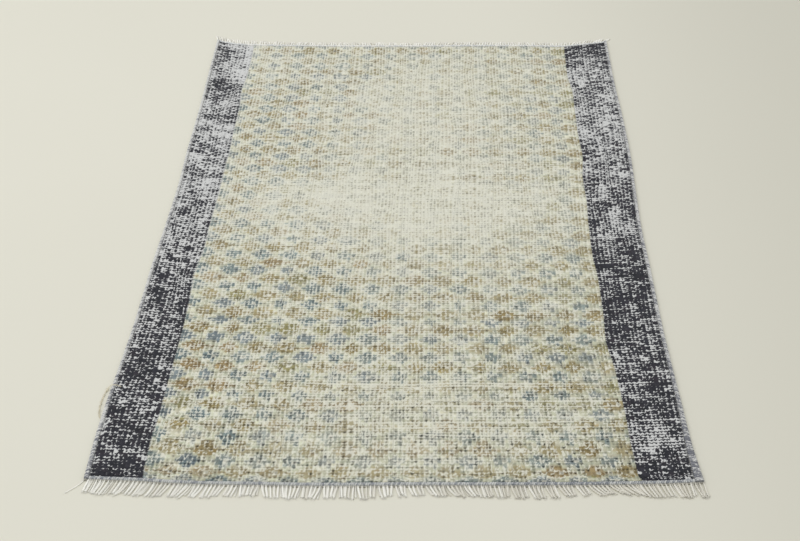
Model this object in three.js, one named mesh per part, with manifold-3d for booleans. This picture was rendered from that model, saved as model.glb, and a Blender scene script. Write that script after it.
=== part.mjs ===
// A small hand-knotted Anatolian rug lying flat, its pile face up: a knotted cloth with an uneven outline,
// an overcast cord along each side, an overlocked edge and a cut fringe at each end, and one loose yarn.
// Millimetres. X runs across the rug, Y along it from the near end to the far end, Z up from the floor.
import * as THREE from "three";
import { mergeVertices } from "three/addons/utils/BufferGeometryUtils.js";
import Module from "manifold-3d";

// Driving dimensions.
const HALF_WIDTH = 507; // from the middle line to the outer face of a side cord
const HALF_LENGTH = 840; // from the middle line to where a fringe starts
const CLOTH_THICKNESS = 5; // worn pile and foundation together
const CLOTH_EDGE_ROUND = 0.9; // how far the cloth's rim is rounded over
const SIDE_CORD_HEIGHT = 6.4; // the overcast cord stands a little proud of the cloth
const END_EDGE_WIDTH = 6.5; // depth of the overlocked edge
const END_EDGE_HEIGHT = 5.6;
const ROOT_STRIP_WIDTH = 2.4; // the strip in which the fringe's roots are fused
const ROOT_STRIP_HEIGHT = 2.9; // at the rug's edge
const ROOT_STRIP_RIM = 2.3; // at its outer side, where the strands leave it
const GAP = 0.35; // between neighbouring pieces
const STRANDS = 148; // in one fringe
const STRAND_WIDTH = 3.6; // where it lies on the floor
const STRAND_HEIGHT = 2.5;
const STRAND_PITCH_AT_TIPS = 4.5; // the least distance between two neighbouring tips
const YARN_RADIUS = 0.8; // of the loose yarn
const YARN_STEPS = 40;
const YARN_SIDES = 8;
const ACROSS_STEPS = 72; // stations across the rug, the same for neighbouring edges so that their gap holds
const ALONG_STEPS = 48; // stations along the rug

// How the sides wander. at is the place along the rug, left and right are how far each side stands out from
// HALF_WIDTH there, and the cords' own widths follow.
const SIDES = [
  { at: -840, left: 5.5, right: 17, leftCord: 8.5, rightCord: 15 },
  { at: -740, left: 7.5, right: 8, leftCord: 7.5, rightCord: 11 },
  { at: -640, left: 6.5, right: 4.5, leftCord: 7, rightCord: 8.5 },
  { at: -540, left: 3, right: 1, leftCord: 6.5, rightCord: 7.5 },
  { at: -400, left: -1, right: -3, leftCord: 6.5, rightCord: 7.5 },
  { at: -200, left: -1.5, right: -4.5, leftCord: 6.5, rightCord: 7.5 },
  { at: -40, left: -5, right: -6.5, leftCord: 6.5, rightCord: 7.5 },
  { at: 110, left: -7, right: -3, leftCord: 6.5, rightCord: 7 },
  { at: 270, left: -4, right: 1, leftCord: 6.5, rightCord: 7 },
  { at: 440, left: -3.5, right: 0, leftCord: 6.5, rightCord: 7 },
  { at: 630, left: -0.5, right: -3.5, leftCord: 6.5, rightCord: 7 },
  { at: 865, left: 3.5, right: -3, leftCord: 7, rightCord: 7 },
];

// How the ends bow. across is the place across the rug, near and far are how far each end reaches past
// HALF_LENGTH there: the near end swells in the middle, the far end draws in between two horned corners.
const ENDS = [
  { across: -507, near: -1.5, far: 22 },
  { across: -482, near: -0.5, far: 9.5 },
  { across: -455, near: 0.5, far: 0 },
  { across: -420, near: 2, far: -4.5 },
  { across: -330, near: 7.5, far: -8.5 },
  { across: -215, near: 8.5, far: -10 },
  { across: -120, near: 9, far: -10.5 },
  { across: 40, near: 5, far: -9 },
  { across: 160, near: 3, far: -6.5 },
  { across: 290, near: 0, far: -5.5 },
  { across: 390, near: -3.5, far: -8.5 },
  { across: 435, near: -6, far: 1 },
  { across: 470, near: -8.5, far: 9.5 },
  { across: 507, near: -12, far: 19 },
];

// How the strands lie. across is the place of the root, reach is how far the tip lies from the rug's end and
// lean how far it lies to the side, to the right where positive.
const FRINGES = {
  near: [
    { across: -507, reach: 30, lean: -3 },
    { across: -480, reach: 33, lean: -9 },
    { across: -390, reach: 33, lean: -12 },
    { across: -300, reach: 30, lean: -11 },
    { across: -230, reach: 26, lean: -3 },
    { across: -190, reach: 30, lean: 5 },
    { across: -150, reach: 30, lean: -6 },
    { across: -90, reach: 29, lean: 0 },
    { across: -55, reach: 31, lean: 2 },
    { across: 20, reach: 24, lean: 5 },
    { across: 110, reach: 25, lean: 11 },
    { across: 170, reach: 27, lean: 4 },
    { across: 225, reach: 30, lean: 8 },
    { across: 290, reach: 25, lean: 9 },
    { across: 340, reach: 20, lean: 16 },
    { across: 375, reach: 23, lean: 19 },
    { across: 430, reach: 31, lean: 10 },
    { across: 507, reach: 36, lean: 6 },
  ],
  far: [
    { across: -507, reach: 27, lean: -9 },
    { across: -440, reach: 24, lean: -4 },
    { across: -300, reach: 19, lean: 3 },
    { across: -100, reach: 18, lean: -4 },
    { across: 120, reach: 19, lean: 5 },
    { across: 300, reach: 18, lean: -3 },
    { across: 440, reach: 20, lean: 6 },
    { across: 507, reach: 19, lean: 11 },
  ],
};
// How far single strands differ from that, and how neighbours lean together in small clumps.
const STRAND_SPREAD = { reach: 2.5, lean: 1.2, slimmest: 0.86, fullest: 1.1 };
const CLUMP = { fewest: 3, most: 5, leastPull: 0.16, mostPull: 0.42 };
// The outermost strand at the near left corner has slipped out and lies far to the side.
const STRAY_STRAND = { reach: 33, lean: -27, slimness: 0.55 };
// A strand's sections from root to tip: how far it bows back against its lean, and its width and height as
// shares of a full strand's.
const STRAND_SECTIONS = [
  { share: 0, bow: 0, width: 0.8, height: 0.84 },
  { share: 0.5, bow: 0.12, width: 1, height: 1 },
  { share: 1, bow: 0, width: 0.92, height: 0.72 },
];
const FRINGE_SEEDS = { near: 11, far: 23 };
const STRAND_TOP = 0.6; // width of a strand's top face as a share of the face on the floor

// The loose yarn's route: x, y, z. It comes up out of the left band, passes over the side cord, lies on the
// floor in a shallow bow and runs back under the cord's flank.
const YARN_ROUTE = [
  [-493.5, -595.9, 6.1],
  [-497.5, -594, 6.6],
  [-502, -592.6, 7.6],
  [-507, -591.9, 7.9],
  [-511.5, -592.2, 7.4],
  [-515, -594, 5.2],
  [-517.6, -597.8, 2.9],
  [-519.6, -604, 1.4],
  [-521.2, -613, 0.85],
  [-522.4, -624, 0.85],
  [-523, -636, 0.85],
  [-522.6, -648, 0.85],
  [-521.4, -660, 0.85],
  [-519, -671.5, 0.85],
  [-515.3, -680.5, 0.95],
];

const COLOURS = {
  cloth: 0xb9b8a0,
  sideCord: 0x8d8f9d,
  endEdge: 0x878c9a,
  fringe: 0xe2dcc9,
  yarn: 0xc9a57e,
};

const wasm = await Module();
wasm.setup();

// A value read smoothly from a table: a cubic through its rows that keeps their mean slopes.
function readTable(rows, key, column, at) {
  const last = rows.length - 1;
  let i = 0;
  while (i < last - 1 && at > rows[i + 1][key]) i += 1;
  const slope = (k) => {
    const before = rows[Math.max(k - 1, 0)];
    const after = rows[Math.min(k + 1, last)];
    return (after[column] - before[column]) / (after[key] - before[key]);
  };
  const span = rows[i + 1][key] - rows[i][key];
  const t = THREE.MathUtils.clamp((at - rows[i][key]) / span, 0, 1);
  const rise = rows[i + 1][column] - rows[i][column];
  const start = slope(i) * span;
  const end = slope(i + 1) * span;
  return rows[i][column] + t * (start + t * (3 * rise - 2 * start - end + t * (start + end - 2 * rise)));
}

const nearEnd = (across) => -HALF_LENGTH - readTable(ENDS, "across", "near", across);
const farEnd = (across) => HALF_LENGTH + readTable(ENDS, "across", "far", across);

// The rug is laid out straight, then warped: across is kept in proportion between the wandering sides.
function warp(across, y) {
  const out = across < 0 ? -readTable(SIDES, "at", "left", y) : readTable(SIDES, "at", "right", y);
  return new THREE.Vector2(across + (out * Math.abs(across)) / HALF_WIDTH, y);
}

// A point at a share of the way from the near end to the far end.
const between = (across, share) => warp(across, THREE.MathUtils.lerp(nearEnd(across), farEnd(across), share));

// A point at a depth in from an end; a negative depth lies out on the fringe.
const inFrom = {
  near: (across, depth) => warp(across, nearEnd(across) + depth),
  far: (across, depth) => warp(across, farEnd(across) - depth),
};

const shares = (steps) => Array.from({ length: steps + 1 }, (_, i) => i / steps);

// The place across where a side cord's inner face stands.
function innerFace(side, share) {
  const y = THREE.MathUtils.lerp(-HALF_LENGTH, HALF_LENGTH, share);
  return side * (HALF_WIDTH - readTable(SIDES, "at", side < 0 ? "leftCord" : "rightCord", y));
}

// A closed solid lofted through rings of points that all have the same count, its two ends closed by fans.
// The rings turn counter-clockwise as seen from the first ring's outer side.
function loft(rings) {
  const count = rings[0].length;
  const positions = rings.flat().flatMap((p) => [p.x, p.y, p.z]);
  const faces = [];
  for (let r = 0; r + 1 < rings.length; r += 1) {
    for (let i = 0; i < count; i += 1) {
      const a = r * count + i;
      const b = r * count + ((i + 1) % count);
      faces.push(a, a + count, b, b, a + count, b + count);
    }
  }
  const lastRing = (rings.length - 1) * count;
  for (let i = 1; i + 1 < count; i += 1) {
    faces.push(0, i, i + 1);
    faces.push(lastRing, lastRing + i + 1, lastRing + i);
  }
  const geometry = new THREE.BufferGeometry();
  geometry.setAttribute("position", new THREE.Float32BufferAttribute(positions, 3));
  geometry.setIndex(faces);
  return geometry;
}

// The half-round section of a bound edge: flat underneath, full on top. depth runs from 0 to 1 across it.
const BOUND_SECTION = [
  { depth: 0.06, height: 0 },
  { depth: 0.94, height: 0 },
  { depth: 1, height: 0.5 },
  { depth: 0.82, height: 0.9 },
  { depth: 0.5, height: 1 },
  { depth: 0.18, height: 0.9 },
  { depth: 0, height: 0.5 },
];

// Turns a ring round where its solid would otherwise be inside out.
const turned = (rings, flip) => (flip ? rings.map((ring) => [...ring].reverse()) : rings);

function piece(name, geometry, colour, roughness) {
  const material = new THREE.MeshStandardMaterial({ color: colour, roughness, metalness: 0 });
  const mesh = new THREE.Mesh(geometry, material);
  mesh.name = name;
  return mesh;
}

// The knotted cloth: a flat slab whose rim follows the cords and the overlocked edges.
function rugBody() {
  const rim = END_EDGE_WIDTH + GAP;
  const rimShare = rim / (2 * HALF_LENGTH);
  const left = (share) => innerFace(-1, share) + GAP;
  const right = (share) => innerFace(1, share) - GAP;
  const end = (name, share) =>
    shares(ACROSS_STEPS).map((s) => inFrom[name](THREE.MathUtils.lerp(left(share), right(share), s), rim));
  const side = (edge) =>
    shares(ALONG_STEPS)
      .slice(1, -1)
      .map((s) => {
        const share = THREE.MathUtils.lerp(rimShare, 1 - rimShare, s);
        return between(edge(share), share);
      });
  const outline = [...end("near", 0), ...side(right), ...end("far", 1).reverse(), ...side(left).reverse()];
  const geometry = new THREE.ExtrudeGeometry(new THREE.Shape(outline), {
    depth: CLOTH_THICKNESS - 2 * CLOTH_EDGE_ROUND,
    bevelThickness: CLOTH_EDGE_ROUND,
    bevelSize: CLOTH_EDGE_ROUND,
    bevelOffset: -CLOTH_EDGE_ROUND,
    bevelSegments: 1,
  });
  geometry.translate(0, 0, CLOTH_EDGE_ROUND);
  return piece("rug_body", geometry, COLOURS.cloth, 0.95);
}

// The overcast cord along one side, the full length between the two fringes.
function sideCord(name, side) {
  const rings = shares(ALONG_STEPS).map((share) =>
    BOUND_SECTION.map(({ depth, height }) => {
      const inner = innerFace(side, share);
      const across = THREE.MathUtils.lerp(side * HALF_WIDTH, inner, depth);
      const spot = between(across, share);
      return new THREE.Vector3(spot.x, spot.y, height * SIDE_CORD_HEIGHT);
    }),
  );
  return piece(name, loft(turned(rings, side > 0)), COLOURS.sideCord, 0.9);
}

// The overlocked edge across one end, between the two side cords.
function endEdge(name, end) {
  const share = end === "near" ? 0 : 1;
  const from = innerFace(-1, share) + GAP;
  const to = innerFace(1, share) - GAP;
  const rings = shares(ACROSS_STEPS).map((s) =>
    BOUND_SECTION.map(({ depth, height }) => {
      const spot = inFrom[end](THREE.MathUtils.lerp(from, to, s), depth * END_EDGE_WIDTH);
      return new THREE.Vector3(spot.x, spot.y, height * END_EDGE_HEIGHT);
    }),
  );
  return piece(name, loft(turned(rings, end === "near")), COLOURS.endEdge, 0.9);
}

// A small repeatable random source, from 0 to 1.
function randomSource(seed) {
  let state = seed;
  return () => {
    state = (state * 1664525 + 1013904223) % 4294967296;
    return state / 4294967296;
  };
}

// Where each strand of a fringe starts and where its tip lies, before and after the tips lean together
// in small clumps and are pushed apart where they would touch.
function strandLayout(end, seed) {
  const random = randomSource(seed);
  const rows = FRINGES[end];
  const half = HALF_WIDTH - STRAND_WIDTH / 2;
  const strands = shares(STRANDS - 1).map((share) => {
    const across = THREE.MathUtils.lerp(-half, half, share);
    const reach = readTable(rows, "across", "reach", across) + STRAND_SPREAD.reach * (2 * random() - 1);
    const lean = readTable(rows, "across", "lean", across) + STRAND_SPREAD.lean * (2 * random() - 1);
    const slimness = THREE.MathUtils.lerp(STRAND_SPREAD.slimmest, STRAND_SPREAD.fullest, random());
    return { across, reach, tip: across + lean, slimness };
  });
  let first = 0;
  while (first < strands.length) {
    const size = CLUMP.fewest + Math.floor((CLUMP.most - CLUMP.fewest + 1) * random());
    const clump = strands.slice(first, first + size);
    const middle = clump.reduce((sum, strand) => sum + strand.tip, 0) / clump.length;
    const pull = THREE.MathUtils.lerp(CLUMP.leastPull, CLUMP.mostPull, random());
    for (const strand of clump) strand.tip += pull * (middle - strand.tip);
    first += clump.length;
  }
  for (let i = 1; i < strands.length; i += 1) {
    strands[i].tip = Math.max(strands[i].tip, strands[i - 1].tip + STRAND_PITCH_AT_TIPS);
  }
  if (end === "near") {
    const stray = strands[0];
    stray.reach = STRAY_STRAND.reach;
    stray.tip = stray.across + STRAY_STRAND.lean;
    stray.slimness = STRAY_STRAND.slimness;
  }
  return strands;
}

// One strand: four sides, flat on the floor for its whole length, a little slimmer towards its cut tip.
function strandSolid(end, strand) {
  const outward = end === "near" ? -1 : 1;
  const root = inFrom[end](strand.across, -GAP - ROOT_STRIP_WIDTH / 2);
  const rootLine = inFrom[end](strand.across, 0);
  const tip = new THREE.Vector2(root.x + strand.tip - strand.across, rootLine.y + outward * strand.reach);
  const rings = STRAND_SECTIONS.map(({ share, bow, width, height }) => {
    const middle = root.clone().lerp(tip, share);
    middle.x -= bow * (tip.x - root.x);
    const half = (STRAND_WIDTH * strand.slimness * width) / 2;
    const top = STRAND_HEIGHT * Math.min(strand.slimness, 1) * height;
    return [
      new THREE.Vector3(middle.x - half, middle.y, 0),
      new THREE.Vector3(middle.x + half, middle.y, 0),
      new THREE.Vector3(middle.x + half * STRAND_TOP, middle.y, top),
      new THREE.Vector3(middle.x - half * STRAND_TOP, middle.y, top),
    ];
  });
  return loft(turned(rings, end === "near"));
}

// A solid that manifold-3d can join, from a closed geometry.
function manifoldOf(geometry) {
  const bare = new THREE.BufferGeometry();
  bare.setAttribute("position", geometry.getAttribute("position"));
  bare.setIndex(geometry.getIndex());
  const merged = mergeVertices(bare);
  const mesh = new wasm.Mesh({
    numProp: 3,
    vertProperties: merged.attributes.position.array,
    triVerts: new Uint32Array(merged.index.array),
  });
  return new wasm.Manifold(mesh);
}

// A fringe: strands that stand apart, their roots fused in one narrow strip beyond the overlocked edge.
function fringe(name, end, seed) {
  const stripSection = [
    { depth: -GAP, height: 0 },
    { depth: -GAP, height: ROOT_STRIP_HEIGHT },
    { depth: -GAP - ROOT_STRIP_WIDTH, height: ROOT_STRIP_RIM },
    { depth: -GAP - ROOT_STRIP_WIDTH, height: 0 },
  ];
  const rings = shares(ACROSS_STEPS).map((s) =>
    stripSection.map(({ depth, height }) => {
      const spot = inFrom[end](THREE.MathUtils.lerp(-HALF_WIDTH, HALF_WIDTH, s), depth);
      return new THREE.Vector3(spot.x, spot.y, height);
    }),
  );
  let joined = manifoldOf(loft(turned(rings, end === "near")));
  for (const strand of strandLayout(end, seed)) {
    joined = joined.add(manifoldOf(strandSolid(end, strand)));
  }
  const { vertProperties, triVerts } = joined.getMesh();
  const geometry = new THREE.BufferGeometry();
  geometry.setAttribute("position", new THREE.BufferAttribute(vertProperties, 3));
  geometry.setIndex(new THREE.BufferAttribute(triVerts, 1));
  return piece(name, geometry, COLOURS.fringe, 0.9);
}

// The loose yarn: an eight-sided tube along its route.
function looseThread() {
  const route = new THREE.CatmullRomCurve3(YARN_ROUTE.map((p) => new THREE.Vector3(...p)));
  const corners = shares(YARN_SIDES)
    .slice(0, -1)
    .map((s) => new THREE.Vector2(YARN_RADIUS, 0).rotateAround(new THREE.Vector2(), 2 * Math.PI * s));
  const geometry = new THREE.ExtrudeGeometry(new THREE.Shape(corners), {
    steps: YARN_STEPS,
    extrudePath: route,
  });
  return piece("loose_thread", geometry, COLOURS.yarn, 0.9);
}

// The rug stands with the middle of its box over the origin.
const rug = new THREE.Group();
rug.add(
  rugBody(),
  sideCord("side_binding_left", -1),
  sideCord("side_binding_right", 1),
  endEdge("end_binding_near", "near"),
  endEdge("end_binding_far", "far"),
  fringe("fringe_near", "near", FRINGE_SEEDS.near),
  fringe("fringe_far", "far", FRINGE_SEEDS.far),
  looseThread(),
);
const box = new THREE.Box3().setFromObject(rug);
rug.position.set(-(box.min.x + box.max.x) / 2, -(box.min.y + box.max.y) / 2, -box.min.z);

export default rug;
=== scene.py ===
# %% [markdown]
# A worn Anatolian rug, made in Blender
#
# The real rug is knotted in wool on a cotton foundation. Long warps run from end to end and become the
# fringe, each row of wool knots is tied round them, and wefts are beaten in between the rows. Grey yarn is
# wrapped round both sides and stitched over both ends. Years of use have worn the pile low and pale.
#
# The solids of the rug are loaded first as a fixed frame. Everything below is made around them, at their
# size and place, and stands for them in the picture.

# %% Load the frame
import math

import bpy
import numpy as np
from mathutils import Euler, Matrix, Vector


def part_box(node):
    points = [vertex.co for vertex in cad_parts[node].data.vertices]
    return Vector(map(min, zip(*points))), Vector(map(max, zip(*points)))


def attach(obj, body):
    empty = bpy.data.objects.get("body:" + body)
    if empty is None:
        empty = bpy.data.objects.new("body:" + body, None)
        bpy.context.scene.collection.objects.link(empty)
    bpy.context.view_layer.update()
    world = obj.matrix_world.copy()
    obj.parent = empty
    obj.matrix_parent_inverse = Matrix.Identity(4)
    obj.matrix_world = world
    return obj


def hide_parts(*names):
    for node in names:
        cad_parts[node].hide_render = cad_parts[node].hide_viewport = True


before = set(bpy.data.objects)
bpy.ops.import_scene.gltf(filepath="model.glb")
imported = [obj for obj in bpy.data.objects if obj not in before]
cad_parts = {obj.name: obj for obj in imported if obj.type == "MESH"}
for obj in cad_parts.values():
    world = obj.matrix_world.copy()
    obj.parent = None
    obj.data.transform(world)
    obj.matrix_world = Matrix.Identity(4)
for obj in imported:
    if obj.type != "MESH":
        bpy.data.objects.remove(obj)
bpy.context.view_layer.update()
print("solids:", sorted(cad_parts))

# %% [markdown]
# The rug's own outline
#
# A hand-made rug is never a true rectangle. Its sides wander and its ends bow, and the solids follow the
# short tables below. We repeat the tables here, in millimetres, so that every knot, wrap and strand can be
# placed by the same curves. A smooth curve through a few rows is easier to read and to change than a long
# list of points.

# %% A table that can be read anywhere between its rows
def table(columns, *rows):
    """Rows under named columns, as a dictionary of arrays."""
    return {name: np.array(values, float) for name, values in zip(columns.split(), zip(*rows))}


def read(rows, key, column, at):
    """The value of a column at a place, on a cubic curve that keeps the mean slopes of the rows."""
    keys, values = rows[key], rows[column]
    before = np.maximum(np.arange(len(keys)) - 1, 0)
    after = np.minimum(np.arange(len(keys)) + 1, len(keys) - 1)
    slopes = (values[after] - values[before]) / (keys[after] - keys[before])
    at = np.asarray(at, float)
    i = np.searchsorted(keys[1:-1], at, side="left")
    span = keys[i + 1] - keys[i]
    t = np.clip((at - keys[i]) / span, 0, 1)
    rise = values[i + 1] - values[i]
    start, end = slopes[i] * span, slopes[i + 1] * span
    return values[i] + t * (start + t * (3 * rise - 2 * start - end + t * (start + end - 2 * rise)))


# %% Sizes of the pieces, in millimetres
HALF_WIDTH = 507.0
HALF_LENGTH = 840.0
GAP = 0.35
CLOTH_THICKNESS = 5.0
SIDE_CORD_HEIGHT = 6.4
END_EDGE_WIDTH = 6.5
END_EDGE_HEIGHT = 5.6

# How far each side stands out from HALF_WIDTH along the rug, and how wide its cord is there.
SIDES = table(
    "at left right left_cord right_cord",
    (-840, 5.5, 17, 8.5, 15),
    (-740, 7.5, 8, 7.5, 11),
    (-640, 6.5, 4.5, 7, 8.5),
    (-540, 3, 1, 6.5, 7.5),
    (-400, -1, -3, 6.5, 7.5),
    (-200, -1.5, -4.5, 6.5, 7.5),
    (-40, -5, -6.5, 6.5, 7.5),
    (110, -7, -3, 6.5, 7),
    (270, -4, 1, 6.5, 7),
    (440, -3.5, 0, 6.5, 7),
    (630, -0.5, -3.5, 6.5, 7),
    (865, 3.5, -3, 7, 7),
)

# How far each end reaches past HALF_LENGTH across the rug.
ENDS = table(
    "across near far",
    (-507, -1.5, 22),
    (-482, -0.5, 9.5),
    (-455, 0.5, 0),
    (-420, 2, -4.5),
    (-330, 7.5, -8.5),
    (-215, 8.5, -10),
    (-120, 9, -10.5),
    (40, 5, -9),
    (160, 3, -6.5),
    (290, 0, -5.5),
    (390, -3.5, -8.5),
    (435, -6, 1),
    (470, -8.5, 9.5),
    (507, -12, 19),
)


# %% From the straight rug to the wandering one
def near_end(across):
    """Where the near end lies at a place across the rug."""
    return -HALF_LENGTH - read(ENDS, "across", "near", across)


def far_end(across):
    """Where the far end lies at a place across the rug."""
    return HALF_LENGTH + read(ENDS, "across", "far", across)


def warp(across, y):
    """Where a place across the straight rug lies between the wandering sides."""
    out_left = -read(SIDES, "at", "left", y)
    out_right = read(SIDES, "at", "right", y)
    out = np.where(np.asarray(across) < 0, out_left, out_right)
    return across + out * np.abs(across) / HALF_WIDTH


def between(across, share):
    """x and y at a share of the way from the near end to the far end."""
    y = near_end(across) + share * (far_end(across) - near_end(across))
    return warp(across, y), y


def in_from(end, across, depth):
    """x and y at a depth in from an end. A negative depth lies out on the fringe."""
    y = near_end(across) + depth if end == "near" else far_end(across) - depth
    return warp(across, y), y


def straight_y(share):
    """y at a share of the way along the straight rug."""
    return -HALF_LENGTH + share * 2 * HALF_LENGTH


def inner_face(side, share):
    """Where a side cord's inner face stands, -1 for the left side and 1 for the right."""
    column = "left_cord" if side < 0 else "right_cord"
    return side * (HALF_WIDTH - read(SIDES, "at", column, straight_y(share)))


def cloth_side(side, share):
    """Where the knots begin, a small gap in from a side cord."""
    return inner_face(side, share) - side * GAP


# %% From the tables' millimetres to the frame's metres
# The near right corner of the right cord has a known place in the tables, so it shows the frame's shift.
MM = 0.001
cord_low, cord_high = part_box("side_binding_right")
shift = np.array([
    cord_high.x / MM - float(warp(HALF_WIDTH, near_end(HALF_WIDTH))),
    cord_low.y / MM - float(near_end(inner_face(1, 0))),
    0.0,
])


def to_frame(points):
    """Points of the tables, in millimetres, as points of the frame, in metres."""
    return (np.asarray(points, float) + shift) * MM


print("shift of the frame, mm:", shift.round(3).tolist())

# %% [markdown]
# Camera
#
# The camera stands behind the near end, a little right of the middle and at a standing height, and looks
# down along the rug. A long lens keeps the far end from shrinking too much. Its place was worked out from
# the rug's four corners and the lines of its knots.

# %% Camera
CAMERA_AT = (90.55, -2699.37, 1686.0)
CAMERA_TURN = (55.961, 0.631, 1.674)  # degrees about X, Y and Z, from a camera that looks straight down
LENS = 67.23
SENSOR = 36.0

camera = bpy.data.objects.new("camera", bpy.data.cameras.new("camera"))
camera.data.lens = LENS
camera.data.sensor_width = SENSOR
turn = Euler([math.radians(angle) for angle in CAMERA_TURN])
camera.matrix_world = Matrix.LocRotScale(Vector(to_frame(CAMERA_AT)), turn, None)
bpy.context.scene.collection.objects.link(camera)
bpy.context.scene.camera = camera
print("camera at", [round(c, 3) for c in camera.location])

# %% [markdown]
# Floor and light
#
# A plain pale floor and a plain bright sky give soft light with hardly a shadow. One wide lamp, high on the
# left, adds just enough direction to raise the knots and the strands, and lets the floor grow a little
# darker to the right, helped by painted shade in the floor's finish.

# %% Floor, sky and lamp
FLOOR_SIZE = 14.0
SKY_STRENGTH = 0.8
LAMP_POWER = 82.0
LAMP_SIZE = 4.0
LAMP_AT = Vector((-3.4, 0.5, 4.6))


def linear(*channels):
    """A colour given by its 0 to 255 screen values, as the light values that Blender works with."""
    c = np.array(channels, float) / 255
    return np.where(c <= 0.04045, c / 12.92, ((c + 0.055) / 1.055) ** 2.4)


def rgba(*channels):
    """The same, with full alpha, for a colour socket."""
    return (*linear(*channels), 1.0)


half_floor = FLOOR_SIZE / 2
corners = [(x * half_floor, y * half_floor, 0) for x, y in ((-1, -1), (1, -1), (1, 1), (-1, 1))]
floor_mesh = bpy.data.meshes.new("floor")
floor_mesh.from_pydata(corners, [], [(0, 1, 2, 3)])
floor = bpy.data.objects.new("floor", floor_mesh)
bpy.context.scene.collection.objects.link(floor)

world = bpy.data.worlds.new("soft_sky")
world.use_nodes = True
world.node_tree.nodes["Background"].inputs["Color"].default_value = (1, 1, 1, 1)
world.node_tree.nodes["Background"].inputs["Strength"].default_value = SKY_STRENGTH
bpy.context.scene.world = world

lamp = bpy.data.objects.new("lamp", bpy.data.lights.new("lamp", "AREA"))
lamp.data.energy = LAMP_POWER
lamp.data.size = LAMP_SIZE
lamp.location = LAMP_AT
lamp.rotation_euler = LAMP_AT.to_track_quat("Z", "Y").to_euler()
bpy.context.scene.collection.objects.link(lamp)
bpy.context.scene.view_settings.view_transform = "Standard"
print("floor", FLOOR_SIZE, "m, lamp", LAMP_POWER, "W")

# %% [markdown]
# Writing a material as arithmetic
#
# A material in Blender is a graph of nodes. Wiring it by hand hides the idea, so a small class wraps one
# socket and turns Python's own + - * / into Math nodes. A formula such as 1 - worn * 0.5 then builds its
# own nodes. Every other node comes from one method: first its settings, then the values or links of its
# sockets.

# %% Wire and Finish
class Wire:
    """One output socket of a finish. Arithmetic on it adds Math nodes."""

    def __init__(self, finish, socket):
        self.finish = finish
        self.socket = socket

    def __add__(self, other):
        return self.finish.math("ADD", self, other)

    def __sub__(self, other):
        return self.finish.math("SUBTRACT", self, other)

    def __rsub__(self, other):
        return self.finish.math("SUBTRACT", other, self)

    def __mul__(self, other):
        return self.finish.math("MULTIPLY", self, other)

    __radd__ = __add__
    __rmul__ = __mul__

    def rising(self, low, high):
        """0 below low and 1 above high, with a smooth step between."""
        return self.finish.node(
            "MapRange",
            {"interpolation_type": "SMOOTHSTEP"},
            {"Value": self, "From Min": low, "From Max": high},
        )


class Finish:
    """A material in the making: a Principled shader and the nodes that feed it."""

    def __init__(self, name, **constants):
        self.material = bpy.data.materials.new(name)
        self.material.use_nodes = True
        self.tree = self.material.node_tree
        self.shader = self.tree.nodes["Principled BSDF"]
        for socket, value in constants.items():
            self.shader.inputs[socket.replace("_", " ")].default_value = value

    def node(self, kind, settings=None, sockets=None, output=0):
        made = self.tree.nodes.new("ShaderNode" + kind)
        for name, value in (settings or {}).items():
            setattr(made, name, value)
        for name, value in (sockets or {}).items():
            if isinstance(value, Wire):
                self.tree.links.new(value.socket, made.inputs[name])
            else:
                made.inputs[name].default_value = value
        return Wire(self, made.outputs[output])

    def math(self, operation, first, second):
        return self.node("Math", {"operation": operation}, {0: first, 1: second})

    def mix(self, share, first, second, blend="MIX"):
        """Two colours mixed. A share of 0 gives the first, and 1 the second."""
        settings = {"data_type": "RGBA", "blend_type": blend}
        return self.node("Mix", settings, {0: share, 6: first, 7: second}, output=2)

    def attribute(self, name, output=2):
        """A value stored on the mesh: output 2 is a number, output 0 a colour."""
        return self.node("Attribute", {"attribute_name": name}, output=output)

    def places(self, x=1.0, y=1.0, z=1.0):
        """The place on the piece in metres, stretched along the axes."""
        place = self.node("TexCoord", output=3)
        return self.node("VectorMath", {"operation": "MULTIPLY"}, {0: place, 1: (x, y, z)})

    def noise(self, place, scale, detail=2.0, roughness=0.5):
        """Smooth random values round 0.5. The scale is in spots to a metre."""
        sockets = {"Vector": place, "Scale": scale, "Detail": detail, "Roughness": roughness}
        return self.node("TexNoise", None, sockets)

    def feed(self, socket, wire):
        self.tree.links.new(wire.socket, self.shader.inputs[socket])

    def raise_surface(self, height, distance, strength=1.0):
        """Lets the light see a fine relief of the given depth in metres."""
        sockets = {"Height": height, "Distance": distance, "Strength": strength}
        self.feed("Normal", self.node("Bump", None, sockets))


# %% The floor's finish
PAINTED_FLOOR_SHADE = (0.15, 1.1)  # metres to the right between which painted shade darkens the floor

floor_finish = Finish("pale_floor", Roughness=0.75)
floor_mottle = floor_finish.noise(floor_finish.places(), 1.3)
pale_floor = floor_finish.mix(floor_mottle, rgba(220, 218, 204), rgba(224, 222, 208))
# Painted shade: the floor's colour darkens towards the right, where the light falls off.
painted_shade_to_right = floor_finish.node("SeparateXYZ", None, {0: floor_finish.places()}).rising(*PAINTED_FLOOR_SHADE)
floor_finish.feed("Base Color", floor_finish.mix(painted_shade_to_right, pale_floor, rgba(207, 205, 191)))
floor.data.materials.append(floor_finish.material)
print("finishes so far:", floor_finish.material.name)

# %% [markdown]
# Meshes from arrays
#
# The rug has tens of thousands of knots, so its meshes are worked out as arrays of points with numpy and
# handed to Blender in one go. Two helpers are enough: one makes a mesh from points and faces, and one
# makes the faces of tubes, which serve for yarns, wraps and strands alike.

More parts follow.
